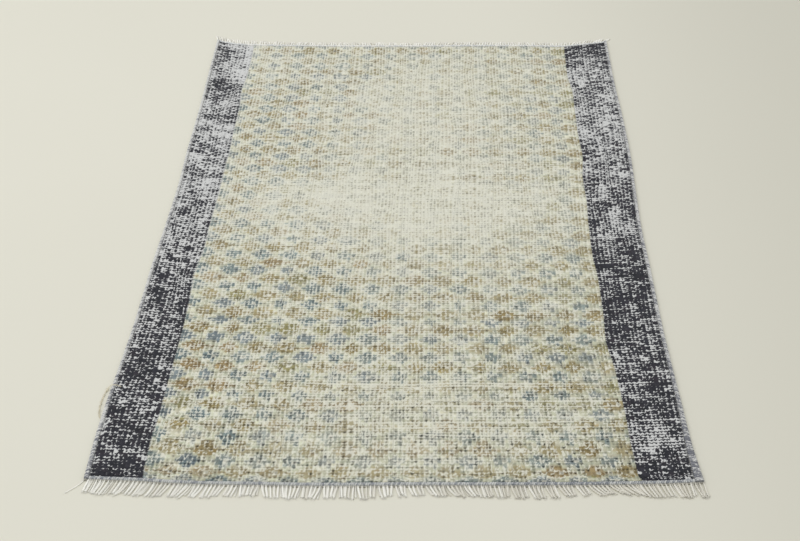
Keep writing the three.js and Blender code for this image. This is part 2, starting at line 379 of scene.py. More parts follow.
# %% Mesh helpers
def make_piece(name, points, face_groups, finish, replaced=()):
    """A smooth-shaded piece from points in millimetres and groups of faces with equal corner counts."""
    mesh = bpy.data.meshes.new(name)
    groups = [np.asarray(group, np.int32) for group in face_groups if len(group)]
    sizes = np.concatenate([np.full(len(group), group.shape[1]) for group in groups])
    corners = np.concatenate([group.ravel() for group in groups])
    mesh.vertices.add(len(points))
    mesh.vertices.foreach_set("co", to_frame(points).astype(np.float32).ravel())
    mesh.loops.add(len(corners))
    mesh.loops.foreach_set("vertex_index", corners)
    mesh.polygons.add(len(sizes))
    mesh.polygons.foreach_set("loop_start", np.concatenate([[0], np.cumsum(sizes)[:-1]]).astype(np.int32))
    mesh.polygons.foreach_set("use_smooth", np.ones(len(sizes), bool))
    mesh.update(calc_edges=True)
    mesh.materials.append(finish.material)
    piece = bpy.data.objects.new(name, mesh)
    bpy.context.scene.collection.objects.link(piece)
    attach(piece, "root")
    if replaced:
        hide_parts(*replaced)
    triangles = int((sizes - 2).sum())
    print(f"{name}: {len(points)} points, {triangles} triangles")
    return piece


def store(piece, name, values, domain="POINT"):
    """Keeps a number or a colour for each point or face of a piece, for its finish to read."""
    values = np.asarray(values, np.float32)
    kind, key = ("FLOAT", "value") if values.ndim == 1 else ("FLOAT_COLOR", "color")
    if values.ndim == 2:
        values = np.column_stack([values, np.ones(len(values), np.float32)])
    piece.data.attributes.new(name, kind, domain).data.foreach_set(key, values.ravel())


def tube_faces(tubes, rings, sides, first=0):
    """Walls and end caps of closed tubes whose points are numbered by tube, ring and side."""
    tube, ring, side = np.meshgrid(np.arange(tubes), np.arange(rings - 1), np.arange(sides), indexing="ij")
    start = first + tube * rings * sides + ring * sides
    here, after = start + side, start + (side + 1) % sides
    walls = np.stack([here, after, after + sides, here + sides], -1).reshape(-1, 4)
    cap = first + np.arange(tubes)[:, None] * rings * sides + np.arange(sides)
    return walls, np.concatenate([cap[:, ::-1], cap + (rings - 1) * sides])


def wander(rng, count, reach):
    """Random values that drift slowly along a row, for unevenness by hand."""
    raw = rng.normal(size=count + 2 * reach)
    window = np.hanning(2 * reach + 1)
    drift = np.convolve(raw, window / np.sqrt((window**2).sum()), "valid")
    return drift[:count]


# %% [markdown]
# The loose yarn
#
# One end of wool has worked loose from the left band. It comes up beside the cord, passes over it, lies on
# the floor in a shallow bow and ends under the cord's flank. It is made first, because a loose yarn has a
# real length that a picture can't hide. Its route is a short list of points. The yarn has
# two plies, so it is two thin tubes that wind round each other along that route, with a fuzz of stray hairs.

# %% The yarn's route
YARN_ROUTE = np.array([
    (-493.5, -595.9, 6.1),
    (-497.5, -594, 6.6),
    (-502, -592.6, 7.6),
    (-507, -591.9, 7.9),
    (-511.5, -592.2, 7.4),
    (-515, -594, 5.2),
    (-517.6, -597.8, 2.9),
    (-519.6, -604, 1.4),
    (-521.2, -613, 0.85),
    (-522.4, -624, 0.85),
    (-523, -636, 0.85),
    (-522.6, -648, 0.85),
    (-521.4, -660, 0.85),
    (-519, -671.5, 0.85),
    (-515.3, -680.5, 0.95),
])
YARN_DIAMETER = 1.6
YARN_RINGS = 260
STEPS_BETWEEN_POINTS = 40


def smooth_route(route, count):
    """Evenly spaced points on a curve through a route's points."""
    ahead = 2 * route[-1] - route[-2]
    behind = 2 * route[0] - route[1]
    p = np.vstack([behind, route, ahead])
    t = np.linspace(0, 1, STEPS_BETWEEN_POINTS, endpoint=False)[:, None]
    pieces = []
    for i in range(1, len(p) - 2):
        a, b, c, d = p[i - 1 : i + 3]
        pieces.append(0.5 * (2 * b + (c - a) * t + (2 * a - 5 * b + 4 * c - d) * t**2
                             + (3 * b - a - 3 * c + d) * t**3))
    fine = np.vstack([*pieces, route[-1:]])
    run = np.concatenate([[0], np.cumsum(np.linalg.norm(np.diff(fine, axis=0), axis=1))])
    even = np.linspace(0, run[-1], count)
    return np.column_stack([np.interp(even, run, fine[:, axis]) for axis in range(3)]), run[-1]


yarn_line, yarn_length = smooth_route(YARN_ROUTE, YARN_RINGS)
print("yarn length, mm:", round(yarn_length, 1))


# %% Two plies round a line
def plied(lines, radii, turns, sides, flatten=1.0, spread=0.95):
    """Two twisted plies along each line. lines is (strands, rings, 3) and radii (strands, rings)."""
    ahead = np.gradient(lines, axis=1)
    ahead /= np.linalg.norm(ahead, axis=2, keepdims=True)
    aside = np.cross(ahead, (0.0, 0.0, 1.0))
    aside /= np.maximum(np.linalg.norm(aside, axis=2, keepdims=True), 1e-6)
    upward = np.cross(aside, ahead)
    angle = np.linspace(0, 2 * math.pi, sides, endpoint=False)
    found = []
    for ply in (0.0, math.pi):
        turn = (turns + ply)[..., None]
        middle = lines + spread * radii[..., None] * (
            aside * np.cos(turn) + flatten * upward * np.sin(turn)
        )
        r = radii[..., None, None]
        found.append(middle[:, :, None] + r * (
            aside[:, :, None] * np.cos(angle)[:, None] + upward[:, :, None] * np.sin(angle)[:, None]
        ))
    rings = np.stack(found, 1)
    return rings.reshape(-1, *rings.shape[2:])


# %% Loose hairs
HAIR_RINGS = 4
HAIR_SIDES = 3
HAIR_SINKS = 0.75  # how much of its height a hair loses towards its tip
HAIR_THINS = 0.55  # how much thinner a hair is at its tip
HAIR_CLEARANCE = 0.02


def hairs(rng, start, heading, reach, radius, curl):
    """Points of thin tapering hairs that sink towards the floor, by hair, ring and side."""
    t = np.linspace(0, 1, HAIR_RINGS)[None]
    bend = rng.normal(size=(len(start), 1)) * curl * t**2
    ahead_x, ahead_y = np.cos(heading)[:, None], np.sin(heading)[:, None]
    x = start[:, :1] + ahead_x * reach[:, None] * t - ahead_y * bend
    y = start[:, 1:2] + ahead_y * reach[:, None] * t + ahead_x * bend
    z = np.maximum(start[:, 2:] * (1 - HAIR_SINKS * t), radius + HAIR_CLEARANCE)
    thin = radius * (1 - HAIR_THINS * t)[..., None]
    angle = np.linspace(0, 2 * math.pi, HAIR_SIDES, endpoint=False)
    return np.stack([
        x[..., None] - thin * np.cos(angle) * ahead_y[..., None],
        y[..., None] + thin * np.cos(angle) * ahead_x[..., None],
        z[..., None] + thin * np.sin(angle),
    ], -1)


# %% A finish for wool yarn
def wool_finish(name, pale, full, deep):
    """Hairy wool whose tone drifts between three shades, with fibres that follow the yarn."""
    wool = Finish(name, Roughness=0.92, Sheen_Weight=0.2, Sheen_Roughness=0.5)
    tone = wool.attribute("tone")
    fibre = wool.noise(wool.places(), 1500, detail=3.0, roughness=0.65)
    felt = wool.noise(wool.places(), 380, detail=2.0)
    base = wool.mix((tone + (felt - 0.5) * 2.6).rising(0.0, 1.0), rgba(*deep), rgba(*full))
    base = wool.mix((fibre + felt * 0.5 + tone * 0.25).rising(0.8, 1.1) * 0.6, base, rgba(*pale))
    shade = wool.attribute("shade")
    wool.feed("Base Color", wool.mix(1 - shade, base, rgba(*deep), "MULTIPLY"))
    wool.raise_surface(fibre, 0.0005, 0.5)
    return wool


def paint(piece, tone, shade):
    """Keeps the yarn's own tone and how light it stays in its grooves, for a finish of yarn to read."""
    store(piece, "tone", tone)
    store(piece, "shade", shade)


# %% The yarn's mesh
YARN_TWIST = 5.5  # millimetres for one turn of the plies
PLY_SIDES = 8
END_TAPER = (0.5, 0.8, 0.95)  # how thin the plies are at their last rings
YARN_TONE, TONE_DRIFT, DRIFT_REACH = 0.5, 0.18, 200

yarn_finish = wool_finish("tan_yarn", (243, 239, 222), (230, 222, 197), (208, 198, 167))
yarn_radius = np.full((1, YARN_RINGS), YARN_DIAMETER / 4)
yarn_radius[:, : len(END_TAPER)] *= END_TAPER
yarn_radius[:, -len(END_TAPER) :] *= END_TAPER[::-1]
yarn_turns = np.linspace(0, 2 * math.pi * yarn_length / YARN_TWIST, YARN_RINGS)[None]
yarn_points = plied(yarn_line[None], yarn_radius, yarn_turns, PLY_SIDES).reshape(-1, 3)
yarn_faces = tube_faces(2, YARN_RINGS, PLY_SIDES)
loose_yarn = make_piece("loose_yarn", yarn_points, yarn_faces, yarn_finish, ["loose_thread"])
rng = np.random.default_rng(3)
yarn_tone = YARN_TONE + TONE_DRIFT * wander(rng, len(yarn_points), DRIFT_REACH)
paint(loose_yarn, yarn_tone, np.ones(len(yarn_points)))

# %% The yarn's fuzz
FUZZ_HAIRS = 260
FUZZ_RADIUS = 0.13
FUZZ_CURL = 1.2
FUZZ_TONE = 1.1
FUZZ_FROM, FUZZ_TO = 50, YARN_RINGS - 8  # the rings of the yarn between which hairs stand out
FUZZ_SHORTENS = 60  # how many rings before the yarn's end the hairs begin to be shorter
FUZZ_ASIDE = (0.6, 0.6, 0.1)  # how far from the yarn's middle line the hairs start, along each axis
FUZZ_TURN = 0.3  # how far their headings differ from the yarn's, in radians

fuzz_at = rng.integers(FUZZ_FROM, FUZZ_TO, FUZZ_HAIRS)
yarn_ahead = np.gradient(yarn_line, axis=0)[fuzz_at]
fuzz_heading = np.arctan2(yarn_ahead[:, 1], yarn_ahead[:, 0]) + FUZZ_TURN * rng.normal(size=FUZZ_HAIRS)
fuzz_start = yarn_line[fuzz_at] + rng.normal(size=(FUZZ_HAIRS, 3)) * FUZZ_ASIDE
fuzz_reach = rng.uniform(3, 9, FUZZ_HAIRS) * np.clip((YARN_RINGS - fuzz_at) / FUZZ_SHORTENS, 0.3, 1)
fuzz = hairs(rng, fuzz_start, fuzz_heading, fuzz_reach, FUZZ_RADIUS, FUZZ_CURL).reshape(-1, 3)
fuzz_faces = tube_faces(FUZZ_HAIRS, HAIR_RINGS, HAIR_SIDES)
yarn_fuzz = make_piece("yarn_fuzz", fuzz, fuzz_faces, yarn_finish)
paint(yarn_fuzz, np.full(len(fuzz), FUZZ_TONE), np.ones(len(fuzz)))

# %% [markdown]
# The knots as a grid
#
# The rug is counted in knots, as its weaver counted it: 11 knots of dark border on the left, 111 of
# pattern, 13 of border on the right, and 231 rows. The columns are spread evenly between the cords and the
# edges of the pattern, and the rows sag a little to the right where the wefts were beaten unevenly. The
# small straying of single rows and columns comes with the pile.

# %% Counting the knots
LEFT_BAND = 11
FIELD = 111
RIGHT_BAND = 13
COLUMNS = LEFT_BAND + FIELD + RIGHT_BAND
ROWS = 231
MIDDLE_COLUMN, MIDDLE_ROW = COLUMNS // 2, ROWS // 2
WEFT_DRIFT = 9.0  # how far the middle rows sag at DRIFT_AT from the middle line, left up and right down
DRIFT_AT = 350.0
RIM = END_EDGE_WIDTH + GAP

# Where the pattern meets the dark bands, across the straight rug.
PATTERN_EDGES = table(
    "at left right",
    (-840, -407, 407.5),
    (-700, -407, 405.5),
    (-560, -409, 402),
    (-428, -410, 399),
    (100, -410, 397.5),
    (865, -408, 395),
)


def knot_place(column, row):
    """x and y of a place counted in knots: column from the left band's outer edge, row from the near end."""
    share = row / ROWS
    stops = [
        cloth_side(-1, share),
        read(PATTERN_EDGES, "at", "left", straight_y(share)),
        read(PATTERN_EDGES, "at", "right", straight_y(share)),
        cloth_side(1, share),
    ]
    counts = [0, LEFT_BAND, LEFT_BAND + FIELD, COLUMNS]
    across = np.zeros(np.broadcast(column, row).shape)
    for i in range(3):
        here = (column >= counts[i]) & (column <= counts[i + 1])
        along_part = (column - counts[i]) / (counts[i + 1] - counts[i])
        across = np.where(here, stops[i] + along_part * (stops[i + 1] - stops[i]), across)
    low, high = near_end(across) + RIM, far_end(across) - RIM
    sag = WEFT_DRIFT * across / DRIFT_AT * np.sin(math.pi * share) ** 2
    y = low + share * (high - low) - sag
    return warp(across, y), y


knot_width = (knot_place(COLUMNS, MIDDLE_ROW)[0] - knot_place(0, MIDDLE_ROW)[0]) / COLUMNS
knot_length = (knot_place(MIDDLE_COLUMN, ROWS)[1] - knot_place(MIDDLE_COLUMN, 0)[1]) / ROWS
print("one knot, mm:", round(float(knot_width), 2), "by", round(float(knot_length), 2))

# %% [markdown]
# The pattern and its dyes
#
# The pattern is a plain trade of lozenges, ochre ones of six to eight knots and blue ones of four to six,
# with pale ground between them. It repeats every eight knots both ways, so a chart of eight rows holds it
# all. A weaver ties a few lozenges from one batch of wool and then takes the next, so the hue changes along
# a row in short runs. Some lozenges have a single knot of another colour in their middle, a pale or a dark
# eye. Rows were also miscounted here and there, so the pattern slips by a knot at three places along the rug.

# %% Chart of one repeat, the row nearest the fringe first; a capital is a knot that the slim lozenges lack
CHART = (
    "bbb....b",
    "bB.Ooo..",
    "..Ooooo.",
    "OOoooooo",
    "..Ooooo.",
    "Bb.Ooo..",
    "bbB....b",
    "bbbB..Bb",
)
REPEAT = 8
SLIM_LOZENGES = 0.45  # as a share of all
# The dyes that each letter of the chart stands for, n being the dark bands, and how often each one comes.
DYES = {
    "o": [(144, 130, 86), (136, 119, 75), (137, 131, 86), (147, 127, 88), (154, 141, 100)],
    "b": [(110, 127, 129), (108, 121, 127), (124, 135, 139), (97, 115, 119)],
    ".": [(196, 197, 171), (205, 202, 178), (190, 194, 171)],
    "n": [(37, 38, 45), (45, 45, 52), (33, 35, 40), (45, 42, 49)],
}
DYE_SHARES = {
    "o": (0.3, 0.24, 0.14, 0.16, 0.16),
    "b": (0.35, 0.25, 0.2, 0.2),
    ".": (0.5, 0.3, 0.2),
    "n": (0.45, 0.3, 0.15, 0.1),
}
PALE_EYE, DARK_EYE = (206, 204, 190), (72, 72, 70)
PALE_EYES, DARK_EYES = 0.5, 0.04  # as shares of all lozenges
EYES = ((5, 3), (1, 7))  # column and row of the middle knot in the chart, ochre and blue
RUN_OF_BATCH = 4  # how many lozenges in a row share a batch of wool
OWN_BATCH = 0.45  # the share of lozenges that have a batch of their own
ODD_KNOTS = 0.12  # the share of knots tied with another batch than those around them
OCHRE_STARTS, BLUE_STARTS = (1, -1), (-3, -5)  # column and row of the chart where a lozenge is counted from
REPEATS_BEFORE = 2  # the left band is as wide as two repeats, so the count of repeats begins there
SLIPS = ((0, -1), (15, -2), (33, -1), (65, 0))  # from which row on the chart is read how many rows further

rng = np.random.default_rng(1907)
column_of, row_of = np.meshgrid(np.arange(COLUMNS), np.arange(ROWS))
field_column = column_of - LEFT_BAND
in_field = (field_column >= 0) & (field_column < FIELD)
chart = np.array([list(line) for line in CHART])
chart_row = row_of.copy()
for first_row, slip in SLIPS:
    chart_row = np.where(row_of >= first_row, row_of + slip, chart_row)
letters = np.where(in_field, chart[chart_row % REPEAT, field_column % REPEAT], "n")

# A lozenge's number comes from the repeat that its middle falls in.
is_blue = np.char.lower(letters) == "b"
first_column, first_row = (np.where(is_blue, *starts) for starts in zip(BLUE_STARTS, OCHRE_STARTS))
lozenge_column = (field_column - first_column) // REPEAT + REPEATS_BEFORE
lozenge_row = (chart_row - first_row) // REPEAT
lozenges = (ROWS // REPEAT + 3, FIELD // REPEAT + 6)
slim = rng.random(lozenges)[lozenge_row, lozenge_column] < SLIM_LOZENGES
thread = np.where(np.char.isupper(letters) & slim, ".", np.char.lower(letters))
run_batch = np.repeat(rng.random((lozenges[0], lozenges[1] // RUN_OF_BATCH + 1)), RUN_OF_BATCH, axis=1)
batch = np.where(rng.random(lozenges) < OWN_BATCH, rng.random(lozenges), run_batch[:, : lozenges[1]])
own_batch = batch[lozenge_row, lozenge_column]
knot_batch = np.where((thread == ".") | (thread == "n"), rng.random(thread.shape), own_batch)
knot_batch = np.where(rng.random(thread.shape) < ODD_KNOTS, rng.random(thread.shape), knot_batch)

dye = np.zeros((*thread.shape, 3))
for letter, shades in DYES.items():
    steps = np.cumsum(DYE_SHARES[letter])
    pick = np.minimum(np.searchsorted(steps, knot_batch), len(shades) - 1)
    chosen = np.array([linear(*shade) for shade in shades])[pick]
    dye = np.where((thread == letter)[..., None], chosen, dye)

luck_of_lozenge = rng.normal(size=lozenges)[lozenge_row, lozenge_column]
around = [(up, aside) for up in (-1, 0, 1) for aside in (-1, 0, 1) if up or aside]
alike = np.mean([np.roll(thread, step, (0, 1)) == thread for step in around], axis=0)  # of the knots around
eye_kind = rng.random(lozenges)[lozenge_row, lozenge_column]
for eye_column, eye_row in EYES:
    is_eye = in_field & (field_column % REPEAT == eye_column) & (chart_row % REPEAT == eye_row)
    dye[is_eye & (eye_kind < PALE_EYES)] = linear(*PALE_EYE)
    dye[is_eye & (eye_kind > 1 - DARK_EYES)] = linear(*DARK_EYE)
print("knots:", {letter: int((thread == letter).sum()) for letter in DYES})

# %% [markdown]
# Wear
#
# What makes this rug is its wear. Feet have taken the pile off the middle and the far half, where the
# lozenges are ghosts on a cream ground, and left it fuller along the left and right and near the front. In
# the dark bands it shows as white specks of cotton between the dark knots. Wear is painted with a few soft
# ovals, a short table along the rug and some single rows, and then broken up knot by knot.

# %% Where the colour has gone
# Soft ovals of faded pattern: their middle, their half sizes and how much colour they take.
FADED = table(
    "x y wide long taken",
    (70, 60, 260, 180, 0.72),
    (110, 340, 170, 230, 0.5),
    (100, 660, 200, 170, 0.38),
    (-90, 420, 130, 240, 0.3),
    (-210, 60, 160, 100, 0.4),
    (60, -300, 200, 160, 0.2),
    (40, -660, 230, 150, 0.4),
    (-330, 700, 110, 110, 0.2),
)
# Rows of lozenges that kept their colour: their middle row, from and to which pattern column, how much.
KEPT = table(
    "row start stop kept",
    (44, 60, 111, 0.4),
    (67, 0, 40, 0.2),
    (75, 84, 111, 0.2),
    (139, 0, 60, 0.25),
    (139, 66, 111, 0.55),
    (147, 0, 64, 0.3),
    (155, 64, 111, 0.5),
    (155, 0, 50, 0.2),
    (179, 8, 48, 0.35),
    (195, 0, 38, 0.3),
    (211, 12, 64, 0.25),
    (227, 48, 66, 0.35),
)
# Along the rug: how bare the two bands and the pattern are, and how pale all of the pattern has gone.
WEAR = table(
    "row left right field pale",
    (0, 0.06, 0.2, 0.36, 0),
    (10, 0.3, 0.28, 0.37, 0),
    (17, 0.3, 0.32, 0.41, 0),
    (26, 0.3, 0.24, 0.41, 0),
    (40, 0.29, 0.27, 0.42, 0.05),
    (56, 0.3, 0.21, 0.43, 0.1),
    (66, 0.32, 0.22, 0.44, 0.15),
    (74, 0.22, 0.19, 0.45, 0.2),
    (86, 0.4, 0.22, 0.46, 0.25),
    (97, 0.45, 0.24, 0.48, 0.35),
    (110, 0.44, 0.44, 0.52, 0.4),
    (117, 0.56, 0.48, 0.54, 0.42),
    (124, 0.52, 0.4, 0.56, 0.42),
    (131, 0.56, 0.6, 0.54, 0.42),
    (138, 0.5, 0.5, 0.52, 0.42),
    (146, 0.54, 0.58, 0.5, 0.42),
    (156, 0.52, 0.44, 0.51, 0.42),
    (170, 0.6, 0.63, 0.52, 0.42),
    (176, 0.49, 0.63, 0.52, 0.42),
    (183, 0.63, 0.65, 0.52, 0.42),
    (190, 0.49, 0.6, 0.52, 0.42),
    (204, 0.55, 0.62, 0.52, 0.42),
    (216, 0.59, 0.58, 0.52, 0.42),
    (226, 0.58, 0.3, 0.51, 0.42),
)
# Single wefts that lie open as thin white lines: the row, from and to which column, how open.
OPEN_WEFTS = table(
    "row start stop open",
    (12, 122, 132, 0.3),
    (13, 122, 134, 0.35),
    (14, 122, 134, 0.35),
    (15, 120, 134, 0.4),
    (16, 116, 134, 0.35),
    (17, 120, 134, 0.4),
    (18, 70, 133, 0.4),
    (19, 122, 134, 0.35),
    (20, 122, 132, 0.3),
    (21, 66, 130, 0.45),
    (23, 60, 135, 0.45),
    (25, 88, 122, 0.4),
    (29, 50, 122, 0.45),
    (31, 46, 122, 0.5),
    (33, 122, 131, 0.3),
    (37, 58, 112, 0.4),
    (38, 44, 131, 0.55),
    (42, 122, 134, 0.4),
    (44, 122, 133, 0.3),
    (54, 1, 10, 0.3),
    (55, 122, 129, 0.25),
    (77, 1, 8, 0.25),
    (89, 1, 9, 0.3),
    (94, 0, 8, 0.3),
    (106, 123, 135, 0.25),
)


# %% Helpers for wear
OVAL_FALL, OVAL_EDGE = 0.7, 1.3  # how fast an oval fades outwards, and how sharp its edge is
FULL_REACH = 0.4  # the share of its reach over which a row's entry has its full strength


def entries(rows):
    """The rows of a table one by one, each as a dictionary of its numbers."""
    return [dict(zip(rows, values)) for values in zip(*rows.values())]


def ramp(value, start, stop):
    """0 at start and 1 at stop, straight between the two and level beyond them."""
    return np.clip((value - start) / (stop - start), 0, 1)


def faded(x, y):
    """How much of the pattern's colour has gone at a place, from 0 to 1."""
    kept = np.ones(np.broadcast(x, y).shape)
    for oval in entries(FADED):
        far = ((x - oval["x"]) / oval["wide"]) ** 2 + ((y - oval["y"]) / oval["long"]) ** 2
        kept = kept * (1 - oval["taken"] * np.exp(-OVAL_FALL * far**OVAL_EDGE))
    return 1 - kept


def drifting(rng, shape, sizes):
    """Smooth random patches over the knots, about 1 at their strongest. sizes is rows and columns."""
    coarse = [max(int(n / s) + 3, 4) for n, s in zip(shape, sizes)]
    values = rng.normal(size=coarse)
    for axis, (n, s) in enumerate(zip(shape, sizes)):
        at = np.arange(n) / s
        low = at.astype(int)
        t = at - low
        t = t * t * (3 - 2 * t)
        t = t[:, None] if axis == 0 else t
        values = np.take(values, low, axis) * (1 - t) + np.take(values, low + 1, axis) * t
    return values


def on_row(entry, column, row, reach, soft=4.0):
    """1 on an entry's stretch of a row, sinking to 0 over reach rows and soft columns."""
    ends = np.minimum(column - entry["start"], entry["stop"] - column) / soft
    return np.clip(ends, 0, 1) * np.clip(1 + FULL_REACH - np.abs(row - entry["row"]) / reach, 0, 1)


# %% How bare each knot is
EACH = 1.0001  # a patch just over one knot long or wide, so that each row or column has a value of its own
# Patches of wear: over how many rows and columns they reach, and how deep they go.
PATCHES = (((5, 3), 0.07), ((EACH, 7), 0.05), ((22, 9), 0.05))
PATCH_DEPTH, FAR_PATCH_DEPTH = (0.3, 0.9), 0.5  # in the pattern and the bands, and more in the far bands
SOFTER_ROWS = (100, 160)  # from here on it is worn in wider patches and less knot by knot
KEPT_REACH = 3.0  # rows over which a row of lozenges that kept its colour ends
OUTER_WEAR, OUTER_WEAR_ROWS = 0.1, 110  # how much barer the outermost knots are, and for how many rows
FAR_LEFT_ROWS, FAR_LEFT_TILT = (196, 216), 0.05
HALF_PATTERN = 400.0  # half the width of the pattern, about
FADED_IS_BARER = 0.28
RIGHT_IS_FULLER = 0.04
LEAST_BARE, MOST_BARE = 0.02, 0.95

rng = np.random.default_rng(1960)
knot_x, knot_y = knot_place(column_of + 0.5, row_of + 0.5)
fade = faded(knot_x, knot_y)
for entry in entries(KEPT):
    fade = fade * (1 - entry["kept"] * on_row(entry, field_column, row_of, KEPT_REACH))
along_rug = np.clip(row_of + 0.5, 0, WEAR["row"][-1])
left_bare, right_bare, field_bare, pale = (
    read(WEAR, "row", name, along_rug) for name in ("left", "right", "field", "pale")
)
bare = np.where(column_of < LEFT_BAND, left_bare, right_bare)
outer_knots = (column_of == 0) | (column_of == COLUMNS - 1)
bare = bare + OUTER_WEAR * outer_knots * (row_of < OUTER_WEAR_ROWS)
# In the far left corner the band is barer beside the pattern and fuller beside the cord.
far_left = ramp(row_of, *FAR_LEFT_ROWS) * (column_of < LEFT_BAND)
bare = bare + far_left * FAR_LEFT_TILT * (column_of - LEFT_BAND // 2)
across_share = knot_x / HALF_PATTERN  # from -1 at the left edge of the pattern to 1 at the right
field_bare = field_bare + FADED_IS_BARER * fade - RIGHT_IS_FULLER * (across_share + across_share**2)
bare = np.where(in_field, field_bare, bare)
softer = ramp(row_of, *SOFTER_ROWS) * ~in_field
streaks = drifting(rng, thread.shape, (10, EACH))  # warps that show for a few rows
stretches = drifting(rng, thread.shape, (EACH, 6))  # rows that are worn along a few knots
patches = sum(drifting(rng, thread.shape, sizes) * depth for sizes, depth in PATCHES)
patch_depth = np.where(in_field, *PATCH_DEPTH) + FAR_PATCH_DEPTH * softer
bare = np.clip(bare + patch_depth * patches, LEAST_BARE, MOST_BARE)
print("mean bareness, band and field:", bare[~in_field].mean().round(2), bare[in_field].mean().round(2))

# %% Colour of each knot
FADED_WOOL = linear(200, 198, 176)
PALE_WOOL = linear(216, 215, 197)
DYED_FADE = 0.35  # the dyed lozenges lose less of their colour than the ground between them
FADE_LUCK, LOZENGE_LUCK = 0.08, 0.08  # how unevenly single knots and whole lozenges have faded
OUTLINE_FADE, MOST_ALIKE = 0.06, 0.75  # the outline of a lozenge has faded more than its middle
# Extra fades, each with the rows between which it rises to its full strength.
FRONT_FADE, FRONT_ROWS = 0.24, (46, 16)  # the dyed lozenges at the front, most on the left
LEFT_KEPT, FAR_ROWS = 0.07, (90, 120)  # the dyed lozenges on the far left have kept more of their colour
OCHRE_FADE, NEAR_ROWS = 0.16, (120, 80)  # the ochre on the near right
BLUE_FADE, BLUE_FADE_RIGHT = 0.05, 0.15  # the blue has gone first on the right
MOST_FADED = 0.9
LIGHTNESS_LUCK, STREAK_SHADE = 0.13, 0.04
NEAR_RIGHT_DARKENING, NEAR_RIGHT_ROWS = 0.17, (110, 50)  # how much darker the pale ground is on the near right

is_dyed = (thread == "o") | (thread == "b")
on_left = np.clip(-across_share, 0, 1)
on_right = np.clip(across_share, 0, 1)
own_fade = fade + FADE_LUCK * rng.normal(size=thread.shape)
own_fade += is_dyed * (LOZENGE_LUCK * luck_of_lozenge + OUTLINE_FADE * (MOST_ALIKE - alike))
own_fade += FRONT_FADE * is_dyed * ramp(row_of, *FRONT_ROWS) * np.clip(0.3 - across_share, 0, 1)
own_fade -= LEFT_KEPT * is_dyed * ramp(row_of, *FAR_ROWS) * on_left
own_fade += OCHRE_FADE * (thread == "o") * ramp(row_of, *NEAR_ROWS) * on_right
own_fade += (thread == "b") * (BLUE_FADE + BLUE_FADE_RIGHT * across_share)
own_fade = np.where(in_field, np.clip(own_fade, 0, MOST_FADED), 0)[..., None]
all_fade = np.where(in_field, pale * np.where(is_dyed, DYED_FADE, 1.0), 0)[..., None]
lightness = np.exp(LIGHTNESS_LUCK * rng.normal(size=thread.shape) - STREAK_SHADE * streaks)
darker_near_right = ramp(row_of, *NEAR_RIGHT_ROWS) * np.clip(across_share - 0.2, 0, 0.8) * (thread == ".")
lightness = (lightness * (1 - NEAR_RIGHT_DARKENING * darker_near_right))[..., None]
pattern_colour = dye * lightness * (1 - own_fade) + FADED_WOOL * own_fade
pattern_colour = pattern_colour * (1 - all_fade) + PALE_WOOL * all_fade
print("mean fade of the pattern:", own_fade[in_field].mean().round(2))

# %% [markdown]
# The pile
#
# Each knot shows as a short upright bar of wool, rounded across, and between the bars runs a narrow gap
# where the warps and the cotton wefts come through. The pile is one surface of small quads, eight to a
# knot: its points stand in the gap, on both flanks and on the crest, and across the rows on the tuft and on
# the weft. A true relief catches the light from every side, which a flat picture of knots would not. Hand
# work is never ruled, so single points, whole columns and whole rows stray a little.

# %% Places of the pile's points
ACROSS_KNOT = 4
ALONG_KNOT = 2
ACROSS_STRAY, ALONG_STRAY = 0.05, 0.08  # how many knots each point strays across and along the rug
COLUMN_WANDER, ROW_WANDER = 0.32, 0.2  # how many knots whole columns and rows stray, as hand work does
SHORT_REACH, LONG_REACH = 2.5, 14  # over how many knots they stray, across themselves and along themselves
STRAIGHT_EDGE = 3  # knots from an edge over which the weave is held straight
BEATEN_ROWS, BEATEN = 4, 1.5  # the first rows are beaten tighter than the rest
ZIGZAG = 0.22  # how many rows further along the gaps lie, and how many nearer the crests
ZIGZAG_STEPS = np.array([1.0, 0.0, -1.0, 0.0])
FIELD_ZIGZAG, BAND_ZIGZAG = 0.6, 1.0

fine_columns = np.arange(COLUMNS * ACROSS_KNOT + 1)
fine_rows = np.arange(ROWS * ALONG_KNOT + 1)
knot_of_column = np.minimum(fine_columns // ACROSS_KNOT, COLUMNS - 1)
knot_of_row = np.minimum(fine_rows // ALONG_KNOT, ROWS - 1)
column_here = fine_columns[None] / ACROSS_KNOT
row_here = fine_rows[:, None] / ALONG_KNOT
kind = fine_columns % ACROSS_KNOT  # 0 in the gap, 1 and 3 on the flanks and 2 on the crest of a knot
is_weft = (fine_rows % ALONG_KNOT == 0)[:, None]
fine_field = in_field[0][knot_of_column]
fine_shape = (len(fine_rows), len(fine_columns))

inside = (column_here > 0) & (column_here < COLUMNS) & (row_here > 0) & (row_here < ROWS)
column_place = column_here + inside * ACROSS_STRAY * rng.normal(size=fine_shape)
row_place = row_here + inside * ALONG_STRAY * rng.normal(size=fine_shape)
from_edge = np.minimum.reduce([column_place, COLUMNS - column_place, row_place, ROWS - row_place])
loose = ramp(from_edge, 0, STRAIGHT_EDGE)
column_drift = drifting(rng, fine_shape, (LONG_REACH * ALONG_KNOT, SHORT_REACH * ACROSS_KNOT))
row_drift = drifting(rng, fine_shape, (SHORT_REACH * ALONG_KNOT, LONG_REACH * ACROSS_KNOT))
column_place += loose * COLUMN_WANDER * column_drift
row_place += loose * ROW_WANDER * row_drift
row_place -= ramp(np.minimum(row_here, ROWS - row_here), 0, BEATEN_ROWS) * (BEATEN - row_here / ROWS)
bend = ZIGZAG_STEPS[kind] * np.where(fine_field, FIELD_ZIGZAG, BAND_ZIGZAG)
row_place += inside * ZIGZAG * bend
pile_x, pile_y = knot_place(np.clip(column_place, 0, COLUMNS), np.clip(row_place, 0, ROWS))
print("pile points:", pile_x.size)

